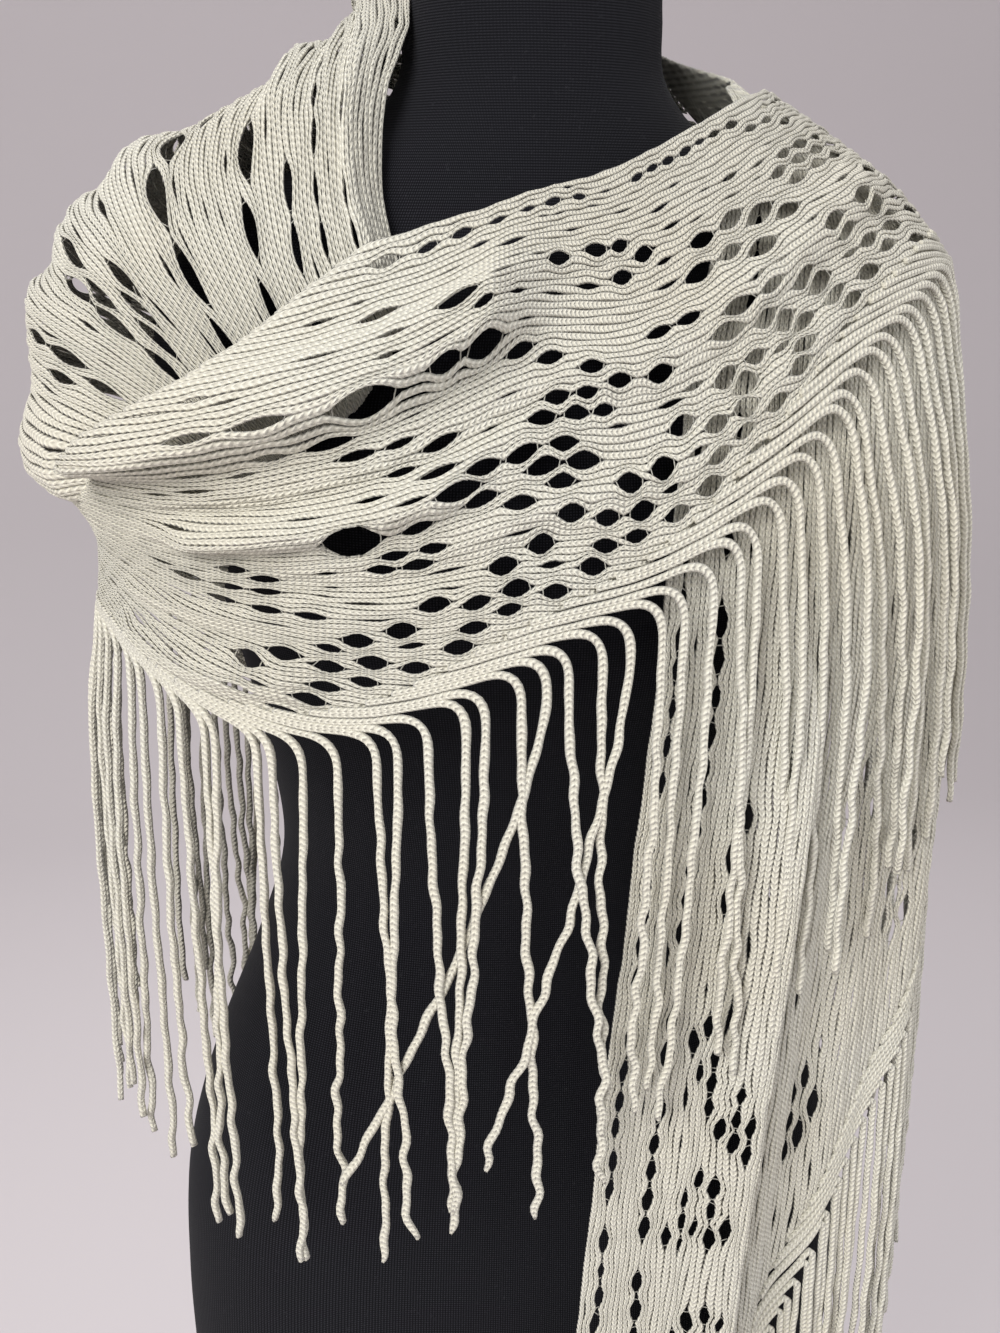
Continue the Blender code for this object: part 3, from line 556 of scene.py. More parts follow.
# The cords of a fringe edge. Each runs beside the edge as its outermost chain, bends over and hangs.
def knitFringe(name, sheet, fringe):
    stations, lengths = hemLengths(sheet)
    mesh = YarnMesh()
    spacing = fringe["spacing"]
    total = int(lengths[-1] / spacing)
    for index in range(total):
        root = (index + 0.5) * spacing + dice.normal() * fringe["unevenness"]
        leadSteps = np.arange(fringe["lead"], 0, -cord["step"])
        back = root - leadSteps
        keep = back > 0
        lead = leadSteps[keep]
        station = np.interp(back[keep], lengths, stations)
        inset = lead / spacing * cord["leadPitch"] - cord["overhang"]
        run = clothPoint(sheet, station, hemDistance(sheet["hem"], station) - inset, cord["lift"])
        if len(run) < 3:
            continue
        hang = hangCord(fringe, run[-1], unit(run[-1] - run[-3]), index, index / total)
        middle = np.concatenate([run, hang])
        ahead = unit(np.gradient(middle, axis=0))
        outward = unit(middle * (1, 1, 0))
        side = unit(np.cross(ahead, outward))
        normal = np.cross(side, ahead)
        gone = np.concatenate([[0], np.cumsum(np.linalg.norm(np.diff(middle, axis=0), axis=1))])
        atBend = gone[len(run) - 1]
        widths = (*cord["leadHalfWidths"], cord["width"] / 2)
        half = np.interp(gone, (0, atBend - 0.004, atBend + 0.006), widths)
        half = half * (1 + 0.06 * np.sin(gone * 310 + index) + 0.05 * np.sin(gone * 127 + 2 * index))
        thick = half * 0.9
        half[-2:] *= cord["tip"]
        mesh.lay(middle, side, normal, half, thick, gone / knit["stitchLength"], True)
    return mesh.build(name, yarnFinish)


# How far a cord's root is from the middle of the cords that it hangs together with, in spacings.
def fromClump(index):
    here = index % sum(cord["clumps"])
    for size in cord["clumps"]:
        if here < size:
            return here - (size - 1) / 2
        here -= size


# The hanging part of a cord, laid point by point from its root: it bends down, rests on the cape and ripples.
def hangCord(fringe, root, ahead, index, share):
    step = cord["step"]
    length = fringe["length"] * (1 + 0.045 * np.sin(index * 1.7) + 0.025 * dice.normal())
    ends = (fringe[key] for key in ("bend", "out", "pull"))
    bend, out, pull = (first + (last - first) * share for first, last in ends)
    lean = fringe["lean"] * (np.sin(index * 2.4) + 0.6 * np.sin(index * 0.9 + 1))
    lean += fringe["leans"].get(index, 0)
    offset = fromClump(index)
    gather = -offset * fringe["spacing"] * pull * (0.75 + 0.5 * dice.random())
    phase = dice.random(4) * 2 * pi
    wave = cord["wave"] * (0.6 + 0.8 * dice.random())
    curl = cord["curl"] * dice.normal()
    place = np.array(root)
    spots = []

    def rest(degree, height):
        return np.linalg.norm(capePoint(np.array([degree]), np.array([height]))[0][:2])

    begin = np.hypot(*place[:2]) - rest(np.degrees(np.arctan2(place[0], -place[1])), place[2])
    for gone in np.arange(step, length, step):
        turn = min(1.0, gone / bend)
        turn = turn * turn * (3 - 2 * turn)
        place = place + unit(ahead * (1 - turn) + np.array((0, 0, -1.0)) * turn) * step
        degree = np.degrees(np.arctan2(place[0], -place[1]))
        off = begin + (out - begin) * min(1.0, gone / cord["settle"])
        reach = max(np.hypot(place[0], place[1]), rest(degree, place[2]) + off)
        outward = np.array((np.sin(radians(degree)), -np.cos(radians(degree)), 0))
        place = outward * reach + (0, 0, place[2])
        past = max(0.0, gone - bend)
        down = past / length
        ripple = wave * (0.25 + 1.1 * down) * min(1, past / 0.02)
        sway = lean * down ** 1.3 + gather * min(1.0, 1.5 * down) ** 1.5 + curl * max(0.0, down * 6 - 5) ** 2
        quick = np.sin(past * 235 + phase[0]) + 0.7 * np.sin(past * 411 + phase[1])
        sway += ripple * (quick + np.sin(past * 96 + phase[3]))
        roundWay = np.array((-outward[1], outward[0], 0))
        over = 0.0013 * (index % 3) * min(1.0, 3 * down) + ripple * 0.7 * np.sin(past * 190 + phase[2])
        spots.append(place + roundWay * sway + outward * over)
    return np.array(spots)


# Joins the plain corners of an outline with its fringe edge, drawn in by an inset.
def outlineOf(sheet, corners, inset, ends=None):
    points = [(float(metresAlong(sheet, station)), across) for station, across in corners]
    if sheet["hem"]:
        stations = np.linspace(sheet["hem"][0][0], sheet["hem"][-1][0], 60)
        distances = hemDistance(sheet["hem"], stations) - inset
        points += [(float(metresAlong(sheet, a)), float(max(b, 0.0))) for a, b in zip(stations, distances)]
    if ends:
        points += [(float(metresAlong(sheet, station)), across) for station, across in ends]
    return points


# In each sheet a line is a distance from the straight edge and where it lies at the stations. A net is station,
# distance, holes in each row, spacing, slant, length and width. A ladder is start, end, distance, spacing,
# length and width. What most sheets share stands here.
plain = {
    "upright": False,
    "turned": ((0, 1, 0, 0, 0), (1, 1, 0, 0, 0)),  # station, share inwards and lean of a turned edge
    "creases": (),
    "hem": (),
    "eyes": (),
    "flowers": (),
}

backSheet = {
    **plain,
    "turned": ((118, -0.25, 0, 0, 0.9), (145, 0.15, 0, 0, 0.98), (250, 0.15, 0, 0, 0.98)),
    "seams": (118.3, 249.8),
    "step": 0.0042,
    "stations": (118, 135, 155, 175, 195, 215, 235, 255),
    "lines": (
        (0.00, (1.472, 1.474, 1.474, 1.473, 1.473, 1.475, 1.48, 1.484)),
        (0.07, (1.405, 1.412, 1.414, 1.412, 1.412, 1.418, 1.43, 1.443)),
        (0.15, (1.318, 1.33, 1.334, 1.332, 1.333, 1.342, 1.362, 1.392)),
        (0.23, (1.236, 1.248, 1.252, 1.25, 1.253, 1.264, 1.284, 1.318)),
        (0.32, (1.148, 1.158, 1.162, 1.16, 1.165, 1.178, 1.202, 1.236)),
        (0.46, (1.01, 1.018, 1.022, 1.02, 1.027, 1.042, 1.07, 1.11)),
    ),
    "layer": (0.0, 0.001, 0.0, 0.0, 0.0, 0.0, 0.001, 0.0),
    "folds": (
        (120, 205, 0.2, 0.24, 0.045, 0.03, 0.008),
        (150, 245, 0.33, 0.3, 0.045, 0.035, 0.009),
        (165, 248, 0.41, 0.39, 0.035, 0.03, 0.007),
    ),
    "creases": (
        (125, 200, 0.09, 0.12, 0.014, 0.012, 0.0022),
        (160, 246, 0.15, 0.13, 0.014, 0.012, 0.002),
    ),
    "hem": (
        (118.05, 0.33), (130, 0.36), (145, 0.4), (160, 0.432), (175, 0.446),
        (190, 0.44), (205, 0.424), (220, 0.398), (235, 0.366), (249.95, 0.334),
    ),
    "nets": [(station, away, rows, 0.0165, slant, 0.0135, 0.0052) for station, away, rows, slant in (
        (132, 0.11, (3, 4, 3), 0.0), (158, 0.19, (3, 4, 5, 3), 0.4), (184, 0.12, (3, 4, 3), 0.0),
        (206, 0.215, (3, 4, 5, 3), 0.4), (232, 0.14, (3, 4, 3), 0.0), (140, 0.27, (3, 4, 3), 0.0),
        (180, 0.31, (3, 4, 3), 0.0), (226, 0.262, (3, 4, 3), 0.0))],
    "ladders": ((119, 249, 0.0087, 0.0137, 0.01, 0.0032), (119, 249, 0.029, 0.016, 0.012, 0.0034)),
    "flowers": (126, 242),
    "slits": 420,
}
backSheet["outline"] = outlineOf(backSheet, (
    (249.95, -0.0232), (150, -0.0232), (134, 0.0), (118.05, 0.0)), 0.01)

shoulderSheet = {
    **plain,
    "turned": ((-110, 0.15, 0, 0, 0.98), (-85, 0.4, 0.5, 0, 0.3), (-65, 0.75, 0.55, 0.1, -0.2)),
    "seams": (-110,),
    "step": 0.003,
    "stations": (-120, -105, -95, -75, -60, -45, -30),
    "lines": (
        (0.00, (1.475, 1.484, 1.488, 1.486, 1.46, 1.405, 1.355)),
        (0.06, (1.438, 1.45, 1.455, 1.446, 1.41, 1.357, 1.31)),
        (0.12, (1.4, 1.418, 1.428, 1.412, 1.372, 1.325, 1.285)),
        (0.18, (1.352, 1.374, 1.386, 1.372, 1.342, 1.3, 1.265)),
        (0.24, (1.298, 1.318, 1.33, 1.325, 1.31, 1.28, 1.25)),
        (0.29, (1.248, 1.262, 1.27, 1.272, 1.27, 1.255, 1.232)),
        (0.36, (1.18, 1.194, 1.202, 1.206, 1.21, 1.2, 1.186)),
    ),
    "layer": (0.0, 0.0, 0.001, 0.002, 0.001, 0.0, 0.0),
    "folds": (
        (-112, -58, 0.055, 0.05, 0.016, 0.016, 0.006),
        (-108, -60, 0.145, 0.12, 0.024, 0.018, 0.007),
        (-106, -66, 0.2, 0.175, 0.016, 0.016, -0.006),
        (-110, -64, 0.274, 0.262, 0.028, 0.022, 0.015),
    ),
    "creases": (
        (-118, -25, 0.0045, 0.0045, 0.0045, 0.009, 0.004),
        (-110, -50, 0.03, 0.026, 0.008, 0.008, 0.0018),
        (-108, -62, 0.17, 0.15, 0.01, 0.01, 0.0022),
    ),
    "nets": (
        (-70, 0.12, (2, 3, 2), 0.027, 0.5, 0.0235, 0.0088),
        (-58, 0.072, (2, 3, 2), 0.025, 0.5, 0.0215, 0.0084),
        (-61, 0.118, (2, 2, 2), 0.024, 0.5, 0.0205, 0.008),
        (-71, 0.176, (2, 3, 3), 0.022, 0.5, 0.019, 0.0072),
        (-62, 0.166, (2, 2, 2), 0.02, 0.5, 0.017, 0.0064), (-52, 0.05, (2, 3), 0.02, 0.5, 0.0165, 0.0056),
        (-74, 0.222, (2, 3, 2), 0.02, 0.4, 0.0165, 0.0058),
        (-90, 0.1, (3, 4, 3), 0.018, 0.3, 0.014, 0.005),
        (-94, 0.2, (3, 3, 2), 0.018, 0.3, 0.014, 0.005),
    ),
    "ladders": ((-109, -40, 0.0087, 0.0137, 0.009, 0.0026), (-109, -40, 0.029, 0.016, 0.011, 0.003)),
    "slits": 240,
}
shoulderSheet["outline"] = outlineOf(shoulderSheet, (
    (-110, -0.0174), (-33, -0.0174), (-33, 0.0), (-38, 0.06), (-44, 0.12), (-48, 0.185),
    (-52, 0.245), (-56, 0.305), (-110, 0.325)), 0.0)

wrapSheet = {
    **plain,
    "seams": (94.8, -109.8),
    "step": 0.0029,
    "stations": (-112, -90, -70, -50, -30, -10, 10, 30, 50, 70, 95),
    "lines": (
        (0.000, (1.368, 1.37, 1.371, 1.375, 1.387, 1.4, 1.41, 1.424, 1.438, 1.445, 1.441)),
        (0.055, (1.318, 1.318, 1.316, 1.32, 1.336, 1.359, 1.364, 1.381, 1.401, 1.415, 1.41)),
        (0.12, (1.292, 1.292, 1.288, 1.28, 1.284, 1.298, 1.303, 1.323, 1.351, 1.368, 1.361)),
        (0.2, (1.262, 1.26, 1.254, 1.238, 1.228, 1.231, 1.233, 1.252, 1.286, 1.31, 1.297)),
        (0.35, (1.216, 1.213, 1.206, 1.148, 1.116, 1.112, 1.107, 1.126, 1.154, 1.182, 1.172)),
    ),
    "layer": (0.004, 0.007, 0.011, 0.016, 0.016, 0.015, 0.013, 0.011, 0.009, 0.007, 0.007),
    "folds": (
        (-92, 0, 0.078, 0.052, 0.052, 0.014, 0.023),
        (-66, 4, 0.104, 0.088, 0.008, 0.01, -0.004),
        (-62, -12, 0.12, 0.112, 0.016, 0.009, 0.011),
        (-50, 4, 0.15, 0.14, 0.016, 0.018, -0.004),
        (-20, 84, 0.09, 0.062, 0.02, 0.016, 0.006),
        (-70, -34, 0.244, 0.2, 0.024, 0.02, 0.007),
    ),
    "creases": (
        (-70, 20, 0.048, 0.034, 0.01, 0.01, 0.0025),
        (-30, 60, 0.14, 0.1, 0.01, 0.012, 0.003),
        (-70, -40, 0.2, 0.17, 0.012, 0.012, 0.003),
    ),
    "hem": (
        (-109.8, 0.322), (-90, 0.3), (-72, 0.276), (-57, 0.257), (-40, 0.238), (-22, 0.207),
        (-5, 0.181), (10, 0.162), (30, 0.14), (50, 0.124), (71, 0.11), (94.8, 0.094),
    ),
    "nets": (
        (8, 0.041, (2, 3, 2), 0.016, 0.5, 0.013, 0.006),
        (-9, 0.0745, (2, 2, 2, 2, 2), 0.0165, 1.1, 0.0145, 0.006),
        (-27, 0.094, (2, 3, 2, 1), 0.0165, 0.5, 0.014, 0.0044),
        (-3, 0.096, (2, 3, 1), 0.015, 0.0, 0.012, 0.0048),
        (-11, 0.116, (3, 4, 3, 3), 0.0185, 0.0, 0.0155, 0.0064),
        (-25, 0.13, (2, 1, 2, 2), 0.014, -0.3, 0.011, 0.005),
        (34, 0.054, (2, 3, 4, 3), 0.023, 0.3, 0.0195, 0.0066),
        (32, 0.084, (2, 3, 2), 0.022, 0.0, 0.0185, 0.0056),
        (18, 0.078, (2, 3, 2), 0.0185, 0.3, 0.015, 0.0046),
        (60, 0.04, (3, 4, 3), 0.0205, 0.0, 0.017, 0.005),
        (54, 0.018, (2, 3), 0.019, 0.4, 0.015, 0.004), (82, 0.03, (2, 3), 0.02, 0.0, 0.016, 0.0044),
        (-44, 0.07, (2, 1, 2), 0.02, 0.5, 0.015, 0.004),
        (-46, 0.16, (3, 2, 3), 0.017, 0.5, 0.013, 0.005),
    ),
    "ladders": ((-36, 6, 0.0087, 0.019, 0.0115, 0.0042), (16, 90, 0.0087, 0.015, 0.011, 0.0034)),
    "eyes": (
        (-33, 0.122, 0.0215, 0.0175), (-23, 0.041, 0.018, 0.0078), (-33, 0.066, 0.022, 0.0078),
        (-5, 0.037, 0.015, 0.0072),
        (-34, 0.031, 0.015, 0.0044), (37, 0.092, 0.012, 0.009), (12, 0.086, 0.015, 0.0066),
        (-19, 0.049, 0.009, 0.0048),
        (30, 0.098, 0.012, 0.006), (-48, 0.14, 0.012, 0.007), (-44, 0.146, 0.012, 0.006),
    ),
    "flowers": (-41, 88),
    "slits": 760,
}
wrapSheet["outline"] = outlineOf(wrapSheet, (
    (94.8, 0.0), (-39, 0.0), (-46, 0.014), (-55, 0.04), (-63, 0.058), (-70, 0.104), (-90, 0.15),
    (-109.8, 0.165)), 0.01)

thrownSheet = {
    **plain,
    "seams": (95.0,),
    "step": 0.003,
    "stations": (90, 110, 130, 150, 175),
    "lines": (
        (0.00, (1.443, 1.439, 1.427, 1.406, 1.372)),
        (0.06, (1.408, 1.397, 1.378, 1.35, 1.315)),
        (0.12, (1.362, 1.346, 1.325, 1.296, 1.262)),
    ),
    "layer": (0.007, 0.007, 0.007, 0.007, 0.007),
    "folds": (
        (88, 160, 0.035, 0.015, 0.014, 0.012, 0.004),
        (88, 140, 0.08, 0.055, 0.014, 0.012, 0.004),
    ),
    "hem": ((95.0, 0.094), (110, 0.078), (130, 0.056), (150, 0.032), (168, 0.009)),
    "nets": (
        (112, 0.036, (3, 4, 3), 0.016, 0.0, 0.0125, 0.0048),
        (134, 0.022, (2, 3, 2), 0.016, 0.0, 0.0125, 0.0044),
    ),
    "ladders": ((97, 160, 0.0087, 0.0137, 0.01, 0.0032),),
    "slits": 50,
}
thrownSheet["outline"] = outlineOf(thrownSheet, ((172, 0.0), (95.0, 0.0)), 0.008)

hangingSheet = {
    **plain,
    "upright": True,
    "seams": (1.461,),
    "step": 0.0044,
    "stations": (0.5, 0.7, 0.9, 1.08, 1.2, 1.29, 1.36, 1.41, 1.445, 1.47, 1.49),
    "lines": (
        (0.00, (-4, -2, 1, 6, 10, 14, 24, 40, 58, 68, 73)),
        (0.08, (26, 27, 29, 33, 36, 40, 50, 62, 74, 82, 86)),
        (0.16, (52, 53, 54, 57, 60, 64, 72, 80, 88, 95, 98)),
        (0.24, (78, 78, 78, 80, 83, 87, 92, 97, 102, 106, 108)),
        (0.36, (118, 118, 118, 118, 118, 118, 118, 118, 118, 118, 118)),
    ),
    "layer": (0.0, 0.0, 0.0, 0.0, 0.0, 0.0, 0.0, 0.001, 0.001, 0.0, 0.0),
    "folds": (
        (0.5, 1.32, 0.07, 0.078, 0.034, 0.01, 0.014),
        (0.62, 1.26, 0.104, 0.116, 0.018, 0.024, -0.008),
        (0.85, 1.28, 0.17, 0.18, 0.024, 0.024, 0.006),
        (0.98, 1.27, 0.215, 0.235, 0.016, 0.016, -0.006),
    ),
    "creases": ((0.6, 1.25, 0.04, 0.046, 0.01, 0.01, 0.0025),),
    "hem": (
        (0.565, 0.012), (0.64, 0.04), (0.74, 0.072), (0.84, 0.104), (0.94, 0.138),
        (1.02, 0.172), (1.08, 0.208), (1.12, 0.255), (1.14, 0.318), (1.146, 0.3615),
    ),
    "nets": (
        (1.035, 0.054, (2, 3, 4, 4, 3, 2), 0.0125, -0.9, 0.01, 0.0046),
        (0.965, 0.052, (2, 3, 4, 3, 3), 0.0125, 0.2, 0.01, 0.0048),
        (0.89, 0.058, (3, 4, 4, 3), 0.0125, 0.3, 0.01, 0.0046),
        (0.8, 0.056, (3, 4, 3), 0.0125, 0.3, 0.01, 0.0046),
        (1.138, 0.05, (2, 3), 0.0165, 0.5, 0.013, 0.005),
        (1.105, 0.156, (3, 4, 3), 0.0165, 0.0, 0.0135, 0.0054),
        (1.15, 0.124, (2, 3, 2), 0.0165, 0.4, 0.0135, 0.0048),
        (1.0, 0.115, (3, 3, 2), 0.0165, 0.5, 0.0135, 0.005),
        (1.2, 0.24, (3, 4, 3), 0.0165, 0.0, 0.0135, 0.0054),
        (1.14, 0.2, (3, 4, 3), 0.0165, 0.0, 0.0135, 0.0054),
    ),
    "ladders": ((0.58, 1.4, 0.0087, 0.015, 0.0118, 0.0048), (0.66, 1.4, 0.029, 0.015, 0.0122, 0.0062)),
    "slits": 460,
}
hangingSheet["outline"] = outlineOf(hangingSheet, ((0.565, 0.0),), 0.01, ((1.472, 0.3615), (1.45, 0.0)))

loose = {"length": 0.24, "pull": (0.5, 0.5), "lean": 0.005, "leans": {}}
fringes = {
    "front": {
        "spacing": 0.012, "unevenness": 0.0016, "lead": 0.05, "length": 0.25, "bend": (0.014, 0.046),
        "out": (0.017, 0.004), "pull": (0.5, 0.65), "lean": 0.008,
        "leans": {28: -0.09, 31: -0.055, 34: -0.03},  # cords that hang aslant
    },
    "thrown": {
        **loose, "spacing": 0.013, "unevenness": 0.0012, "lead": 0.04,
        "bend": (0.04, 0.018), "out": (0.0025, 0.0025),
    },
    "hanging": {
        **loose, "spacing": 0.0098, "unevenness": 0.0014, "lead": 0.04,
        "bend": (0.01, 0.01), "out": (0.001, 0.001),
    },
    "back": {
        **loose, "spacing": 0.013, "unevenness": 0.0012, "lead": 0.055,
        "bend": (0.016, 0.016), "out": (0.001, 0.001),
    },
}


def seated(piece, node):
    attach(piece, "root")
    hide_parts(node)
    return piece


stretches = {  # sheet, node, flat size, flat area, what it rests on
    "knitBack": (backSheet, "shawl_back", (0.44, 0.42), 0.165, "dressForm"),
    "knitRightShoulder": (shoulderSheet, "shawl_right_shoulder", (0.30, 0.28), 0.060, "dressForm"),
    "knitFrontWrap": (wrapSheet, "shawl_front_wrap", (0.25, 0.63), 0.105, "knitHangingEnd"),
    "knitThrownEnd": (thrownSheet, "shawl_thrown_end", (0.10, 0.24), 0.012, "knitBack"),
    "knitHangingEnd": (hangingSheet, "shawl_hanging_end", (0.37, 0.90), 0.180, "dressForm"),
}
hems = {  # sheet, fringe, node, the stretch that it edges
    "fringeFront": (wrapSheet, fringes["front"], "fringe_front_wrap", "knitFrontWrap"),
    "fringeThrown": (thrownSheet, fringes["thrown"], "fringe_thrown_end", "knitThrownEnd"),
    "fringeHanging": (hangingSheet, fringes["hanging"], "fringe_hanging_end", "knitHangingEnd"),
    "fringeBack": (backSheet, fringes["back"], "fringe_back", "knitBack"),
}
pieces = {}
for name, (sheet, node, *_) in stretches.items():
    pieces[name] = seated(knitSheet(name, sheet), node)
for name, (sheet, fringe, node, _) in hems.items():
    pieces[name] = seated(knitFringe(name, sheet, fringe), node)
for name, (_, _, flat, area, under) in stretches.items():
    edges = [pieces[hem] for hem, row in hems.items() if row[3] == name]
print("shawl knitted")


# A closed body through rings of points, flat at either end.
def loft(name, rings, material):
    rings = np.asarray(rings)
    levels, sides = rings.shape[:2]
    order = np.arange(levels * sides).reshape(levels, sides)
    after = np.roll(order, -1, axis=1)
    quads = np.stack([order[:-1], after[:-1], after[1:], order[1:]], -1).reshape(-1, 4)
    faces = quads.tolist() + [order[0][::-1].tolist(), order[-1].tolist()]
    mesh = bpy.data.meshes.new(name)
    mesh.from_pydata(rings.reshape(-1, 3).tolist(), [], faces)
    mesh.shade_smooth()
    mesh.set_sharp_from_angle(angle=radians(40))
    mesh.materials.append(material)
    return added(name, mesh)


def formRing(height, shrink):
    angle = np.radians(np.arange(form["sides"]) * 360 / form["sides"])
    at = np.array([height])
    heights, *sizes = form["rings"].T
    wide, front, behind = (smoothAt(heights, size, at)[0] - shrink for size in sizes)
    radius = ringRadius(angle, wide, np.where(np.cos(angle) > 0, front, behind))
    for seam in form["seamAngles"]:
        away = (np.degrees(angle) - seam + 180) % 360 - 180
        radius = radius - form["seamDepth"] * np.exp(-(away / form["seamWidth"]) ** 2)
    return np.stack([radius * np.sin(angle), -radius * np.cos(angle), height + 0 * angle], -1)


def coverMaterial():
    finish = Finish(
        "blackFormCover", Roughness=0.9, Specular_IOR_Level=0.13, Sheen_Weight=0.03, Sheen_Roughness=0.5)
    where = finish.where()
    sideways, deep, high = finish.parts(where)
    pitch = 2 * pi * form["weave"]
    around = sideways.maths("ARCTAN2", sideways, deep * -1) * form["weaveRadius"]
    threads = (around * pitch).sine() * 0.5 + 0.5
    picks = (high * pitch).sine() * 0.5 + 0.5
    weave = threads * picks
    lint = (finish.noise(where, 420.0, 2.0) * 6 - 3.9).most(0).least(1)
    drift = finish.noise(where, 14.0, 3.0)
    cloth = finish.blend(drift, form["coverDark"], form["coverLight"])
    # painted highlight: the crossings of the weave are lighter, as where light would catch the threads
    lit = finish.blend(weave * 0.6, cloth, form["weaveHighlight"])
    finish.set(finish.shader, {
        "Base Color": finish.blend(lint * 0.2, lit, form["lintColour"]),
        "Normal": finish.bump(weave, 0.0003, 0.6),
    })
    return finish.material


formLevels = np.linspace(form["rings"][0, 0], form["rings"][-1, 0], form["levels"])
formFoot, formTop = formLevels[0], formLevels[-1]
formRings = [formRing(formFoot + rise, shrink) for rise, shrink in form["footRound"]]
formRings += [formRing(height, 0.0) for height in formLevels[1:-1]]
formRings += [formRing(formTop + rise, shrink) for rise, shrink in form["topRound"]]
seated(loft("dressForm", formRings, coverMaterial()), "form_torso")
print("dress form lofted")


cap = {
    "gap": 0.0003,  # over the top of the neck
    "profile": (  # rise, and how much narrower than the neck
        (0.0, 0.0012), (0.0014, 0.0002), (0.004, 0.0), (0.0068, 0.001), (0.0088, 0.0035), (0.01, 0.008),
    ),
    "dark": (0.016, 0.016, 0.019, 1),
    "light": (0.03, 0.029, 0.032, 1),
}


def capMaterial():
    finish = Finish("neckCapLacquer", Roughness=0.42)
    drift = finish.noise(finish.where(), 60.0, 4.0)
    finish.set(finish.shader, {
        "Base Color": finish.blend(drift, cap["dark"], cap["light"]),
        "Roughness": drift * 0.25 + 0.3,
    })
    return finish.material


capRings = [formRing(formTop, shrink) + (0, 0, cap["gap"] + rise) for rise, shrink in cap["profile"]]
seated(loft("neckCap", capRings, capMaterial()), "neck_cap")


stand = {
    "sides": 96,
    "gap": 0.0003,  # from the pole to the base and to the form
    "poleRadius": 0.0125,
    "flange": (  # radius, drop from the pole's top
        (0.0125, 0.03), (0.015, 0.029), (0.0158, 0.027), (0.0158, 0.0085), (0.015, 0.007),
        (0.034, 0.0062), (0.035, 0.0052), (0.035, 0.0008), (0.0342, 0.0),
    ),
    "base": (  # radius, height
        (0.1685, 0.0), (0.17, 0.0012), (0.17, 0.004), (0.169, 0.0056), (0.167, 0.0062),
        (0.102, 0.011), (0.06, 0.013), (0.03, 0.015), (0.0255, 0.016),
    ),
    "dark": (0.045, 0.045, 0.048, 1),
    "light": (0.08, 0.078, 0.08, 1),
    "brush": 16000.0,  # the higher, the finer the brushed lines round it
}


def standMaterial():
    finish = Finish("standMetal", Metallic=1.0, Roughness=0.35)
    where = finish.where()
    brushed = (finish.parts(where)[2] * stand["brush"]).sine() * 0.5 + 0.5
    drift = finish.noise(where, 35.0, 4.0)
    finish.set(finish.shader, {
        "Base Color": finish.blend(drift, stand["dark"], stand["light"]),
        "Roughness": drift * 0.2 + brushed * 0.08 + 0.26,
        "Normal": finish.bump(brushed, 0.00005, 0.3),
    })
    return finish.material


def turned(name, profile, material):
    angle = np.arange(stand["sides"]) * 2 * pi / stand["sides"]
    rings = [np.stack([r * np.cos(angle), r * np.sin(angle), z + 0 * angle], -1) for r, z in profile]
    return loft(name, rings, material)


metal = standMaterial()
poleTop = formFoot - stand["gap"]
poleFoot = stand["base"][-1][1] + stand["gap"]
poleProfile = [(stand["poleRadius"], poleFoot)]
poleProfile += [(radius, poleTop - drop) for radius, drop in stand["flange"]]
seated(turned("standPole", poleProfile, metal), "stand_pole")
seated(turned("standBase", stand["base"], metal), "stand_base")
print("stand turned")

studio = {
    "floorColour": (0.64, 0.6, 0.615, 1),
    "worldColour": (0.62, 0.6, 0.61, 1),
    "worldStrength": 0.86,
    "floorReach": 9.0,
    "sweep": (2.4, 1.8),  # where the floor starts to rise, and the radius of its curve
    "lights": (  # place, aim, size, watts, colour
        ((-1.6, -2.0, 2.6), (0.0, 0.0, 1.15), 1.5, 90.0, (1.0, 0.99, 0.97)),
        ((1.9, -1.2, 1.9), (0.0, 0.0, 1.1), 1.5, 17.0, (0.95, 0.97, 1.0)),
        ((0.3, 2.0, 2.6), (0.0, 0.0, 1.2), 1.6, 26.0, (1.0, 1.0, 1.0)),
    ),
}


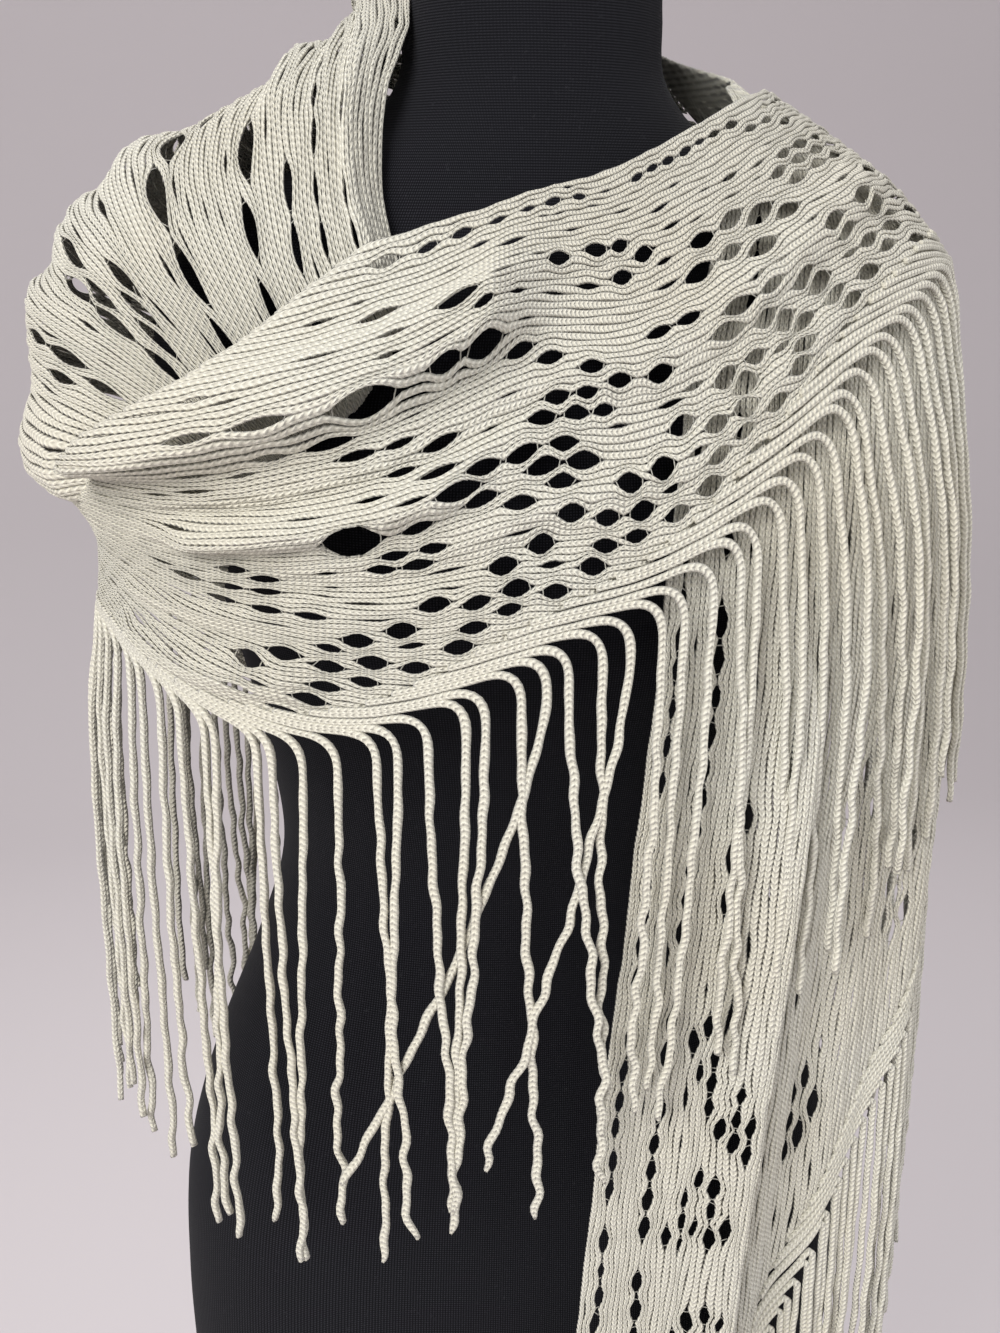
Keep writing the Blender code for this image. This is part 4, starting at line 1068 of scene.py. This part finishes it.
def aimed(spot, target):
    away = unit(np.array(spot, float) - np.array(target, float))
    right = unit(np.cross((0, 0, 1.0), away))
    upward = np.cross(away, right)
    return Matrix([[right[i], upward[i], away[i], spot[i]] for i in range(3)] + [[0, 0, 0, 1]])


for index, (spot, aim, size, watts, colour) in enumerate(studio["lights"]):
    lamp = bpy.data.lights.new(f"softbox{index}", "AREA")
    lamp.size, lamp.energy, lamp.color = size, watts, colour
    added(lamp.name, lamp).matrix_world = aimed(spot, aim)

world = bpy.data.worlds.new("studio")
world.use_nodes = True
background = world.node_tree.nodes["Background"].inputs
background["Color"].default_value = studio["worldColour"]
background["Strength"].default_value = studio["worldStrength"]
bpy.context.scene.world = world
bpy.context.scene.view_settings.view_transform = "Standard"

# The floor runs back and curves up into a plain wall.
reach, (rise, curve) = studio["floorReach"], studio["sweep"]
arc = np.radians(np.linspace(0, 90, 25))
sweep = [(rise + curve * np.sin(a), curve - curve * np.cos(a)) for a in arc]
sweep = [(-reach, 0.0)] + sweep + [(rise + curve, reach)]
floorPoints = [(x, y, z) for y, z in sweep for x in (-reach, reach)]
floorFaces = [(2 * i, 2 * i + 1, 2 * i + 3, 2 * i + 2) for i in range(len(sweep) - 1)]
floorMesh = bpy.data.meshes.new("floor")
floorMesh.from_pydata(floorPoints, [], floorFaces)
floorMesh.shade_smooth()
floorFinish = Finish("paleFloor", Roughness=0.9)
floorFinish.set(floorFinish.shader, {"Base Color": studio["floorColour"]})
floorMesh.materials.append(floorFinish.material)
floor = added("floor", floorMesh)

eye = {
    "place": (-0.115, -0.66, 1.4),
    "right": (0.98830319, -0.1523572, 0.00663957),
    "up": (0.04084217, 0.30637804, 0.95103334),
    "forward": (0.14693099, 0.93963811, -0.30901699),
    "focalPixels": 1400.0,
    "pixelsHigh": 1333.0,
    "sensor": 36.0,
}
lens = bpy.data.cameras.new("camera")
lens.sensor_width = eye["sensor"]
lens.lens = eye["sensor"] * eye["focalPixels"] / eye["pixelsHigh"]
lens.clip_start = 0.02
camera = added("camera", lens)
camera.matrix_world = Matrix(
    [[eye["right"][i], eye["up"][i], -eye["forward"][i], eye["place"][i]] for i in range(3)] + [[0, 0, 0, 1]])
bpy.context.scene.camera = camera
